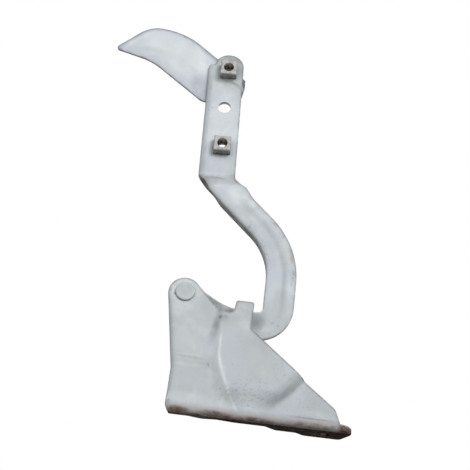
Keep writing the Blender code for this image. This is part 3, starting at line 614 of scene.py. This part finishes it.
def leftEdge(up, s):
    # the knee's x, plus the height above the knee times the run of the tangent line for each mm of rise
    way = earTangent(np.array([s["kneeX"], s["kneeZ"]]), 1.0, s)
    return s["kneeX"] + np.maximum(up - s["kneeZ"], 0.0) * way[0] / way[1]


def bracketOutline(s):
    # the ear's corner is where the two lines that touch its circle meet, from the normals of the lines
    knee, notch = np.array([s["kneeX"], s["kneeZ"]]), np.array(s["web"][-1][:2])
    right = turnPoints(earTangent(notch, -1.0, s), -pi / 2)
    left = turnPoints(earTangent(knee, 1.0, s), pi / 2)
    ear = np.array(s["earCentre"]) + (right + left) * s["earRadius"] / (1.0 + right @ left)
    flange = [(x, flangeLine(depth, s), radius) for x, depth, radius in s["flange"]]
    corners = flange + list(s["web"]) + [(*ear, s["earRadius"]), (*knee, s["kneeRadius"])]
    return roundedLine(corners, True, s["grid"])[0]


def panelSide(x, z, s):
    # how far a point lies right of the panel's ridge, which leans right as a power of the fall from its straight
    # top, and the width of the slope on its left
    fall = np.maximum(s["spreadTop"] - z, 0.0) / (s["spreadTop"] - s["bend"])
    gap = x - s["ridge"] - s["spread"] * fall ** s["spreadPower"]
    return gap, s["leftSlope"] + s["leftSpread"] * smoothStep(fall)


def webRelief(x, z, s):
    # a pad round the pivot, and a raised panel with soft steps on its left and a sharp foot on its right
    pad = s["padRise"] * smoothStep((z - s["padFoot"]) / s["padFootSlope"] + 0.5)
    gap, width = panelSide(x, z, s)
    angle = radians(s["footAngle"])
    inset = (z - s["footZ"]) * cos(angle) - (x - s["footX"]) * sin(angle)
    right = np.sin(pi / 2 * np.clip(inset / s["rightSlope"], 0.0, 1.0))
    relief = pad + (s["panelRise"] - pad) * smoothStep(gap / width + 1.0) * right
    relief = relief + s["crest"] * bell(gap, s["crestWidth"]) * right * (1.0 - fadeIn(z, s["crestTop"]))
    for dent in s["dents"]:
        relief = relief - roundBump(x, z, dent)
    return relief * smoothStep((z - s["bend"]) / s["reliefFade"])


def bracketSurface(flat, s):
    # the blank's left edge rolls back on a quarter bend, its relief stands forward, and its foot bends back level
    x, up = flat[:, 0].copy(), flat[:, 1]
    top = 1.0 - smoothStep((up - s["rollTop"]) / s["rollTopFade"])
    foot = smoothStep((up - s["rollFoot"] + s["rollFootFade"]) / s["rollFootFade"])
    roll = np.maximum(pi / 2 * top * foot, s["leastRoll"])
    edge, width = leftEdge(up, s), s["sideRoll"]
    inset = x - edge
    radius = width / np.sin(roll)
    angle = roll * np.clip(1.0 - inset / width, 0.0, 1.0)
    x = np.where(inset < width, edge + width - radius * np.sin(angle), x)
    back = radius * (1.0 - np.cos(angle))
    y = stack["web"] - webRelief(x, up, s) + back
    bendAngle = np.clip((s["bend"] - up) / s["bend"], 0.0, pi / 2)
    flatRun = np.maximum(flangeLine(s["bend"], s) - up, 0.0)
    y = np.where(up >= s["bend"], y, stack["web"] + s["bend"] * (1.0 - np.cos(bendAngle)) + flatRun)
    z = np.where(up >= s["bend"], up, s["bend"] * (1.0 - np.sin(bendAngle)))
    return np.stack([x, y, z], axis=1)


def paintBracket(flat, outline, s, marks):
    # its spots, an edge band of wear and painted shade, rust under the bend with painted shade beneath the flange,
    # and a painted highlight on the ridge with painted light on the slope on its left
    values = pieceMarks(flat, marks, rimMark(flat, closeLoop(outline), meshing["edgeWearAndShadeReach"]))
    x, up = flat.T
    values["rustPale"] = fadeIn(up, s["rustTop"])
    least = s["blackLeast"]
    values["blackRustAndShade"] = fadeIn(up, s["blackTop"]) * (least + (1.0 - least) * fadeIn(x, s["blackLeft"]))
    gap, width = panelSide(x, up, s)
    # a painted highlight on the ridge and painted light on the slope left of it
    ridge = s["ridgeHighlight"] * bell(gap, s["ridgeWidth"])
    slope = s["slopeLight"] * bell(gap + width / 2, width / 2)
    lit = (1.0 - fadeIn(up, s["crestTop"])) * smoothStep(up / s["bend"])
    lit = lit * (s["highlightLeast"] + (1.0 - s["highlightLeast"]) * fadeIn(up, s["highlightFoot"]))
    values["paleAndPaintedLight"] = np.maximum(values["paleAndPaintedLight"], np.maximum(ridge, slope) * lit)
    return values


def makeBracket(s, marks):
    outline = bracketOutline(s)
    holeX, holeDepth, holeRadius = s["baseHole"]
    holes = [ringOf((0.0, stack["pivotHeight"]), s["pinHole"], s["pinSides"]),
             ringOf((holeX, flangeLine(holeDepth, s)), holeRadius, s["baseSides"])]
    ups = np.arange(2 * s["bend"], s["rollTop"] + s["rollTopFade"], s["grid"])
    creases = []
    for share in np.linspace(*s["creases"]):
        line = np.stack([leftEdge(ups, s) + s["sideRoll"] * share, ups], axis=1)
        line = line[insideOf(line, outline)]
        creases.append(line[distanceTo(line, closeLoop(outline)) > s["creaseRoom"]])
    flat, faces = sheetGrid(outline, holes, creases, s["grid"])
    values = paintBracket(flat, outline, s, marks)
    item = makeSheet("bracketSheet", bracketSurface(flat, s), faces.tolist(), values, s, bracketPaint)
    middles = faceMiddles(item)
    coverFaces(item, flangeRust, (middles[:, 2] < s["dullTop"]) & (middles[:, 1] > stack["web"] + s["bend"] / 2))
    seatPiece(item, "base_bracket", "bracket")
    print("bracket made:", len(flat), "points")


makeBracket(bracketSettings, bracketMarks)

# Arm, drawn from the pivot, and its hood plate, drawn from the plate's foot

armSettings = {
    "sheet": 3.5, "edgeRound": 0.6, "grid": 1.1, "runAngle": -17.2, "bossRadius": 11.75, "bossNotch": 14,
    "neckOuterX": 83.9, "neckInnerX": 60.3, "outerSweepRise": 53, "innerSweepRise": 45.7, "bendOuter": 27.5,
    "bendInner": 3.5, "neckInnerDrop": 4.6, "dip": (36, -7.1, 55), "dipAngle": -31.7,
    "sweepOuter": 72.5, "sweepInner": 50, "armBend": 3.7, "plateBend": 5, "bendChange": (84, 18),
    "flangeDepth": 11, "flangeStart": 15, "flangeFade": 40, "flangeEndDrop": 20.6, "flangeEndFade": 7,
    "plateFlange": 5.8, "bendSteps": 9, "flangeSteps": 4, "endPoints": 40, "bossPoints": 48,
    "beadRise": 1, "beadWidth": 12, "beadStart": 40, "beadEndDrop": 12.6, "beadFade": 14,
    "plateFoot": (13.6, 105.1), "plateLean": 2.5, "plateLeft": -17.6, "plateRight": 12.6,
    "foldLeft": (0.2, 7), "foldRight": (-0.7, 3), "shoulder": (22.2, -6, 5),
    "shoulderFoot": (28.7, -15.9, 25), "joggleDepth": 5, "joggleAlong": -2.2, "joggleLean": 5.2,
    "joggleSlope": 9, "lowerNut": 27, "nutSpacing": 74, "plateEnd": 17.4, "edgeCut": 9.1,
    "middleHole": (-1, 39, 5.4), "boltHole": 4.4, "bushHole": 7.3, "holeSides": 64, "boltSides": 48,
    "padRise": 1.5, "padDrop": 8.4, "padAcross": 2, "padFall": 35.8, "padSlope": 4,
    "burr": (13.1, 85.3, 2.2, 0.7),  # where the rolled edge tore in the press: x, rise, half length, height
    # the rolled edge's dark part of soiling and painted shade by its turn and rise, a length of painted shadow at the
    # blade, a torn length, and the painted highlight before it
    "foldDark": (0.85, 0.15), "foldTop": (110, -6), "bladeShadow": (198, 17), "foldTorn": (100, 7, 0.5),
    "foldHighlight": (0.5, 0.25, 0.8), "flangeRim": 1.2,
    # painted shade in the valley inside the bead, and a painted shade line where the plate's edge begins to roll
    "beadValleyInset": 9.6, "beadValleyWidth": 1.5, "beadValleyShade": 0.27, "beadValleyTop": (84, -30), "beadValleyFoot": (-14, 24),
    "strip": 3.6, "stripWidth": 0.8, "stripShade": 0.4, "stripSide": (0.5, 0.35), "stripFade": 6,
}

armMarks = {  # x and rise above the pivot
    # spots of soiling with painted shadows round the nuts; darker spots, mostly painted shade beside the tab, behind
    # the notch and on the plate's top; lighter spots of painted light on the joggle and the plate
    "dirtAndPaintedShade": ((42.5, 65.2, 1.6, 1.1, -35, 0.5), (70.5, 59.5, 1.3, 1.3, 0, 0.4), (81.1, 29.1, 1.2, 1.8, 0, 0.5),
             (68.4, -14.1, 1.4, 1.2, 0, 0.35), (72.6, -15.9, 1.3, 0.9, 0, 0.3), (9.5, 103.6, 8, 0.6, 3, 0.5),
             (58.1, 43, 1.4, 1, 0, 0.25), (-0.4, 169, 1.1, 1.1, 0, 0.25), (-2.6, 219.4, 1.3, 1.3, 0, 0.5),
             (11.2, 130.6, 9.2, 9.2, 2.5, 0.55), (7.8, 204.2, 9.2, 9.2, 2.5, 0.5)),
    "wear": ((62.3, 70.9, 6, 2.6, -42, 0.7), (78.8, 43.5, 2.6, 8, 12, 0.8), (80.4, 27, 2.2, 9, 0, 0.6),
             (70.5, 59.5, 4, 4, 0, 0.4), (52, 80, 7, 2, -42, 0.4), (-2.2, 102, 3, 4, 0, 0.9)),
    "grimeAndPaintedShade": ((55, -14, 8, 9, -15, 0.75), (44, -9, 20, 8, -18, 0.5),
              (27, -4, 18, 8, -28, 0.9), (12, 220, 18, 18, 0, 0.65),
              (60, 58, 16, 20, 0, 0.15), (14.1, 196, 6, 0.9, -23, 0.4)),
    "paleAndPaintedLight": ((10, 102.4, 18, 4.6, 7, 0.75), (1.5, 98.5, 6, 5, -45, 0.6), (8, 160, 13, 42, 2, 0.35),
             (30, 92, 12, 7, -42, 0.5), (41.6, 85.9, 5, 3, -45, 0.5), (59, 74.1, 4, 6, 45, 0.4)),
}


def platePoint(across, along, s):
    # the plate's foot plus the offset turned by the plate's lean
    offset = np.stack(np.broadcast_arrays(np.asarray(across, float), along), axis=-1)
    return np.array(s["plateFoot"]) + turnPoints(offset, radians(s["plateLean"]))


def onPlate(points, s):
    # the same undone: the offset from the plate's foot turned back
    return turnPoints(points - np.array(s["plateFoot"]), -radians(s["plateLean"])).T


def edgeBend(rise, s):
    # the radius of the rolled edge: tight along the arm, fuller beside the plate
    return s["armBend"] + (s["plateBend"] - s["armBend"]) * fadeIn(rise, s["bendChange"])


def upperNut(s):
    return s["lowerNut"] + s["nutSpacing"]


def plateTop(s):
    return upperNut(s) + s["plateEnd"]


def endRadius(s):
    # half the plate's width without its rolled edge
    return (s["plateRight"] - s["plateLeft"] - s["plateBend"]) / 2


def armOuter(s):
    # outer edge from under the boss, round the neck and up to the plate's round end
    run = radians(s["runAngle"])
    start = turnPoints(np.array([0.0, -s["bossRadius"]]), run)
    neck = start[1] + (s["neckOuterX"] - start[0]) * tan(run)
    foot, shoulder = (platePoint(*s[name][:2], s) for name in ("shoulderFoot", "shoulder"))
    fold = platePoint(s["plateRight"], s["foldRight"][0], s)
    end = platePoint(s["plateRight"], plateTop(s) - endRadius(s), s)
    corners = [(*start, 0.0), (s["neckOuterX"], neck, s["bendOuter"]),
               (s["neckOuterX"], s["outerSweepRise"], s["sweepOuter"]), (*foot, s["shoulderFoot"][2]),
               (*shoulder, s["shoulder"][2]), (*fold, s["foldRight"][1]), (*end, 0.0)]
    return roundedLine(corners, False, s["grid"])


def armInner(s):
    # inner edge from beside the boss, through the dip and the inside of the neck, up the plate's left side
    dipX, dipRise = s["dip"][:2]
    start = dipRise + (s["flangeStart"] - dipX) * tan(radians(s["dipAngle"]))
    fold = platePoint(s["plateLeft"], s["foldLeft"][0], s)
    end = platePoint(s["plateLeft"], plateTop(s) - s["edgeCut"], s)
    corners = [(s["flangeStart"], start, 0.0), s["dip"], (s["neckInnerX"], -s["neckInnerDrop"], s["bendInner"]),
               (s["neckInnerX"], s["innerSweepRise"], s["sweepInner"]), (*fold, s["foldLeft"][1]), (*end, 0.0)]
    return roundedLine(corners, False, s["grid"])


def armSurface(points, outer, s):
    # the joggle's step, the pad under the upper nut and the bead along the outer edge, added up
    across, along = onPlate(points, s)
    line = s["joggleAlong"] + tan(radians(s["joggleLean"])) * across
    forward = s["joggleDepth"] * smoothStep((along - line) / s["joggleSlope"] + 0.5)
    foot = upperNut(s) - s["padDrop"]
    foot = foot - tan(radians(s["padFall"])) * np.maximum(across - s["padAcross"], 0.0)
    side = smoothStep((across - s["plateLeft"]) / s["plateBend"] - 1.0)
    forward = forward + s["padRise"] * smoothStep((along - foot) / s["padSlope"] + 0.5) * side
    x, rise = points.T
    reach = np.minimum(distanceTo(points, outer), s["beadWidth"]) / s["beadWidth"]
    ends = smoothStep((s["plateFoot"][1] - s["beadEndDrop"] - rise) / s["beadFade"])
    ends = np.where(rise < 0.0, ends * smoothStep((x - s["beadStart"]) / s["beadFade"]), ends)
    forward = forward + s["beadRise"] * np.sin(pi * reach) ** 2 * ends
    return np.stack([x, stack["armFront"] - forward, stack["pivotHeight"] + rise], axis=1)


def rolledEdge(inner, normals, outer, s):
    # A quarter bend and a straight flange are carried along the inner edge. The faces come with each point's place
    # on the flat plan, its distance from the free edge and its share of the quarter turn.
    angles = np.linspace(0.0, pi / 2, s["bendSteps"])
    bend, steps = edgeBend(inner[:, 1:], s), s["flangeSteps"]
    near = np.where(inner[:, 1] < 0.0, smoothStep((inner[:, 0] - s["flangeStart"]) / s["flangeFade"]), 1.0)
    far = 1.0 - smoothStep((inner[:, 1] - s["plateFoot"][1] + s["flangeEndDrop"]) / s["flangeEndFade"])
    depth = s["plateFlange"] + (s["flangeDepth"] - s["plateFlange"]) * near * far
    depth = (depth + roundBump(*inner.T, s["burr"]))[:, None]
    inset = np.hstack([bend * (1.0 - np.sin(angles)), np.zeros((len(inner), steps))])
    plan = inner[:, None, :] - normals[:, None, :] * inset[:, :, None]
    straight = bend + (depth - bend) * np.linspace(1.0 / steps, 1.0, steps)
    back = np.hstack([bend * (1.0 - np.cos(angles)), straight])
    turned = np.tile(np.append(np.linspace(0.0, 1.0, s["bendSteps"]), np.ones(steps)), len(inner))
    points = armSurface(plan.reshape(-1, 2), outer, s)
    points[:, 1] += back.ravel()
    return points, gridFaces(*back.shape, False), plan.reshape(-1, 2), (depth - back).ravel(), turned


def paintArm(plan, outer, edgeWearAndShade, turned, s, marks):
    # its spots and edge band, the rolled edge's dark part of soiling and painted shade with a painted highlight
    # before it, painted shade inside the bead and a painted shade line on the plate
    values = pieceMarks(plan, marks, edgeWearAndShade)
    rise = plan[:, 1]
    below = fadeIn(rise, s["foldTop"])
    start, length = s["foldDark"]
    tornRise, tornHalf, tornTurn = s["foldTorn"]
    start = start - tornTurn * bell(rise - tornRise, tornHalf)
    # a painted shadow where the rolled edge meets the blade
    bladeShadowRise, bladeShadowHalf = s["bladeShadow"]
    bladeShadow = bell((rise - bladeShadowRise) ** 2, bladeShadowHalf ** 2)
    values["fold"] = smoothStep((turned - start) / length) * np.maximum(below, bladeShadow)
    # a painted highlight along the fold, where the flat turns into the bend
    highlightTurn, highlightHalf, highlightStrength = s["foldHighlight"]
    values["paleAndPaintedLight"] = np.maximum(values["paleAndPaintedLight"], highlightStrength * bell(turned - highlightTurn, highlightHalf) * below)
    across, along = onPlate(plan, s)
    # painted shade in the valley inside the bead
    beadValley = s["beadValleyShade"] * bell(distanceTo(plan, outer) - s["beadValleyInset"], s["beadValleyWidth"])
    beadValley = beadValley * fadeIn(rise, s["beadValleyTop"]) * fadeIn(rise, s["beadValleyFoot"])
    # painted shade where the plate's edge begins to roll, weaker beside it
    inset = across - s["plateLeft"] - s["strip"]
    sideStart, sideShade = s["stripSide"]
    strip = s["stripShade"] * np.maximum(bell(inset, s["stripWidth"]), sideShade * smoothStep(sideStart - inset))
    strip = strip * smoothStep(along / s["stripFade"])
    values["grimeAndPaintedShade"] = np.maximum(values["grimeAndPaintedShade"], np.maximum(beadValley, strip))
    return values


def makeArm(s, marks):
    outer = armOuter(s)[0]
    inner, normals = armInner(s)
    radius = endRadius(s)
    endAngles = np.linspace(0.0, pi - asin((radius - s["edgeCut"]) / radius), s["endPoints"])[1:]
    roundEnd = platePoint(s["plateRight"] - radius + radius * np.cos(endAngles),
                          plateTop(s) - radius + radius * np.sin(endAngles), s)
    fold = (inner - normals * edgeBend(inner[:, 1:], s))[::-1]
    # the boss, from its notch over the top and round to the start of the outer edge
    bossAngles = np.linspace(radians(s["bossNotch"]), 1.5 * pi + radians(s["runAngle"]),
                             s["bossPoints"])[:-1]
    boss = s["bossRadius"] * np.stack([np.cos(bossAngles), np.sin(bossAngles)], axis=1)
    outline = np.vstack([outer, roundEnd, fold, boss])
    holeAcross, holeRise, holeRadius = s["middleHole"]
    holes = [ringOf((0.0, 0.0), s["bushHole"], s["holeSides"])]
    for along in (s["lowerNut"], upperNut(s)):
        holes.append(ringOf(platePoint(0.0, along, s), s["boltHole"], s["boltSides"]))
    holes.append(ringOf(platePoint(holeAcross, s["lowerNut"] + holeRise, s), holeRadius, s["holeSides"]))
    flat, faces = sheetGrid(outline, holes, [], s["grid"])
    edgePoints, edgeFaces, edgePlan, edgeRim, edgeTurned = rolledEdge(inner, normals, outer, s)
    points = np.vstack([armSurface(flat, outer, s), edgePoints])
    # the edge band of wear and painted shade along the free edges and the flange's edge
    flatRim = rimMark(flat, np.vstack([boss, outer, roundEnd]), meshing["edgeWearAndShadeReach"])
    edgeWearAndShade = np.concatenate([flatRim, bell(edgeRim, s["flangeRim"])])
    turned = np.concatenate([np.zeros(len(flat)), edgeTurned])
    values = paintArm(np.vstack([flat, edgePlan]), outer, edgeWearAndShade, turned, s, marks)
    item = makeSheet("gooseneckSheet", points, faces.tolist() + (edgeFaces + len(flat)).tolist(), values, s, armPaint)
    seatPiece(item, "hinge_arm", "arm")
    print("arm made:", len(points), "points")


makeArm(armSettings, armMarks)

# Blade, drawn across and along the hood plate from the upper nut

bladeSettings = {
    "sheet": 2, "edgeRound": 0.4, "grid": 1.2, "inset": 0.2,  # the edge is filed back from the outline
    "corners": ((-102.3, 21.4, 3), (-71.8, 48.1, 25), (-39.7, 43, 66), (15.1, -3.9, 2), (15.1, -11.7, 2),
                (12.4, -24.6, 2), (-20.3, -27.4, 12), (-67.7, 10.6, 52)),
    "hole": 5.2, "holeSides": 48, "stepInset": 7.6, "stepSlope": 6, "panelRise": 1.6, "panelInset": 3.6,
    "panelSlope": 6, "upperRim": 6, "lowerRim": 9, "upperShade": 1, "lowerShade": 0.4, "shadeWidth": 3.2,
}

bladeMarks = {  # x and rise above the pivot
    # spots of soiling with painted shade where the blade shows beside the plate; darker and lighter zones, partly
    # painted shade and light, across the panel
    "dirtAndPaintedShade": ((-33.4, 242.9, 1.6, 1, -30, 0.8), (-20, 236, 3, 1, -40, 0.4),
             (24, 197, 6, 15, 0, 0.85)),
    "grimeAndPaintedShade": ((-60, 224.5, 12, 3, -8, 0.25), (-11, 190, 10, 17, 25, 0.6),
              (-72, 231, 4, 9, -50, 0.2), (-18, 204, 3, 12, 40, 0.2)),
    "paleAndPaintedLight": ((-46, 231, 26, 9, -14, 0.25), (-22, 218, 14, 8, -40, 0.35),
             (-78, 233, 16, 8, 30, 0.5)),
}


def makeBlade(s, marks):
    # the panel stands forward between its rims, and the right end steps forward to its seat behind the plate
    nut = upperNut(armSettings)
    corners = [(*platePoint(across, nut + along, armSettings), radius) for across, along, radius in s["corners"]]
    outline, normals = roundedLine(corners, True, s["grid"])
    outline = outline - normals * s["inset"]
    end = int(outline[:, 0].argmax())
    upper, lower = outline[:end + 1], closeLoop(outline)[end:]
    hole = ringOf(platePoint(0.0, nut, armSettings), s["hole"], s["holeSides"])
    flat, faces = sheetGrid(outline, [hole], [], s["grid"])
    across = onPlate(flat, armSettings)[0] - armSettings["plateLeft"]
    seated = smoothStep((across - s["stepInset"]) / s["stepSlope"] + 0.5)
    raised = smoothStep(distanceTo(flat, upper) / s["upperRim"]) * smoothStep(distanceTo(flat, lower) / s["lowerRim"])
    raised = raised * (1.0 - smoothStep((across + s["panelInset"]) / s["panelSlope"] + 1.0))
    y = stack["bladeFront"] + (stack["bladeSeat"] - stack["bladeFront"]) * seated - s["panelRise"] * raised
    points = np.stack([flat[:, 0], y, stack["pivotHeight"] + flat[:, 1]], axis=1)
    values = pieceMarks(flat, marks, rimMark(flat, closeLoop(outline), meshing["edgeWearAndShadeReach"]))
    # painted shade along the upper and lower edges, where the sheet slopes back
    shade = np.maximum(s["upperShade"] * rimMark(flat, upper, s["shadeWidth"]),
                       s["lowerShade"] * rimMark(flat, lower, s["shadeWidth"]))
    values["grimeAndPaintedShade"] = np.maximum(values["grimeAndPaintedShade"], shade)
    item = makeSheet("bladeSheet", points, faces.tolist(), values, s, bladePaint)
    seatPiece(item, "wing_plate", "arm")
    print("blade made:", len(flat), "points")


makeBlade(bladeSettings, bladeMarks)

# Nuts and rivet

nutSettings = {"width": 14, "height": 7.2, "edge": 1.3, "bore": 3.4, "mouth": 4.3, "mouthLip": 0.6, "pitch": 1.25,
               "threadDepth": 0.45, "gap": 0.3, "around": 96, "sideRings": 5, "edgeRings": 5, "threadRings": 6,
               "backShadePower": 0.7}


def makeTurned(name, points, around, grimeAndPaintedShade, material):
    # rings of points joined all round, shaded as smooth except at sharp corners
    faces = gridFaces(len(points) // around, around, True).tolist()
    item = newMesh(name, points, faces, {"grimeAndPaintedShade": grimeAndPaintedShade}, material, meshing["turnedWeld"])
    item.data.set_sharp_from_angle(angle=radians(meshing["sharpAngle"]))
    return item


def makeNut(name, node, along, seat, s):
    # rings from the back over the square sides and the face into the bore, whose radius waves with the thread
    count = s["around"]
    angles = 2 * pi * (np.arange(count) + 0.5) / count
    square = 1.0 / np.maximum(np.abs(np.cos(angles)), np.abs(np.sin(angles)))
    half, height, edge = s["width"] / 2, s["height"], s["edge"]
    rings = [(half * square, depth) for depth in np.linspace(0.0, -height + edge, s["sideRings"])]
    for step in np.linspace(0.0, pi / 2, s["edgeRings"])[1:]:
        rings.append(((half - edge * (1.0 - cos(step))) * square, -height + edge * (1.0 - sin(step))))
    rings.append((np.full(count, s["mouth"] + s["mouthLip"]), -height))
    rings.append((np.full(count, s["mouth"]), -height))
    mouthDepth = s["mouth"] - s["bore"]
    for depth in np.arange(mouthDepth, height, s["pitch"] / s["threadRings"]):
        wave = 0.5 - 0.5 * np.cos(2 * pi * (depth / s["pitch"]) + angles)
        rings.append((s["bore"] + s["threadDepth"] * wave, -height + depth))
    rings.append((np.full(count, s["bore"]), 0.0))
    rings.append(rings[0])
    radii = np.array([radius for radius, _ in rings])
    depths = np.array([depth for _, depth in rings])
    plan = np.stack([radii * np.cos(angles), radii * np.sin(angles)], axis=-1)
    plan = turnPoints(plan, radians(armSettings["plateLean"])) + platePoint(0.0, along, armSettings)
    y = np.broadcast_to(depths[:, None] + seat - s["gap"], plan.shape[:2])
    points = np.stack([plan[..., 0], y, plan[..., 1] + stack["pivotHeight"]], axis=-1).reshape(-1, 3)
    # darker towards the back, by a power of the depth: painted shade on the nut's sides
    grimeAndPaintedShade = np.repeat(np.clip(1.0 + depths / height, 0.0, 1.0) ** s["backShadePower"], count)
    item = makeTurned(name, points, count, grimeAndPaintedShade, nutPaint)
    away = faceMiddles(item)[:, ::2] - points[:, ::2].mean(axis=0)
    coverFaces(item, threadSteel, np.linalg.norm(away, axis=1) < s["mouth"])
    seatPiece(item, node, "arm")


makeNut("squareNutLower", "weld_nut_lower", armSettings["lowerNut"], stack["plateFront"], nutSettings)
makeNut("squareNutUpper", "weld_nut_upper", upperNut(armSettings), stack["plateFront"] - armSettings["padRise"],
        nutSettings)

rivetSettings = {"headRadius": 7.45, "headHeight": 1.8, "headEdge": 0.9, "dish": 0.15, "dishShare": (0.55, 0.7),
                 "shank": 5, "tailRadius": 7.5, "tailHeight": 3, "tailEdge": 1.2, "around": 96, "edgeRings": 8,
                 "rimShadeFront": (0.6, 1), "rimShadeBehind": 0.1}


def makeRivet(s):
    # a profile of radius and depth turned about the pivot
    quarter = np.linspace(0.0, pi / 2, s["edgeRings"])
    front = stack["headBack"] - s["headHeight"]
    back = stack["tailFront"] + s["tailHeight"]
    dishRadius, dishDepth = s["dishShare"]
    profile = [(0.0, front + s["dish"]), (dishRadius * s["headRadius"], front + s["dish"] * dishDepth)]
    profile += [(s["headRadius"] - s["headEdge"] * (1.0 - sin(a)), front + s["headEdge"] * (1.0 - cos(a)))
                for a in quarter]
    profile += [(s["headRadius"], stack["headBack"]), (s["shank"], stack["headBack"]),
                (s["shank"], stack["tailFront"]), (s["tailRadius"], stack["tailFront"])]
    profile += [(s["tailRadius"] - s["tailEdge"] * (1.0 - cos(a)), back - s["tailEdge"] * (1.0 - sin(a)))
                for a in quarter]
    profile = np.array(profile + [(0.0, back)])
    angles = 2 * pi * np.arange(s["around"]) / s["around"]
    x = profile[:, :1] * np.cos(angles)
    z = stack["pivotHeight"] + profile[:, :1] * np.sin(angles)
    y = np.broadcast_to(profile[:, 1:], x.shape)
    points = np.stack([x, y, z], axis=-1).reshape(-1, 3)
    # dark on the head's rounded edge and its back: painted shade
    grimeAndPaintedShade = fadeIn(y - front, s["rimShadeFront"]) * (y < stack["headBack"] + s["rimShadeBehind"])
    item = makeTurned("pivotRivet", points, s["around"], grimeAndPaintedShade.ravel(), rivetPaint)
    seatPiece(item, "pivot_rivet", "bracket")


makeRivet(rivetSettings)
print("nuts and rivet made")

# The collar, washer and bush keep their own shapes

for node, material in (("spacer_collar", rivetPaint), ("rear_washer", rivetPaint), ("pivot_bush", bushBronze)):
    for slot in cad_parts[node].material_slots:
        slot.material = material
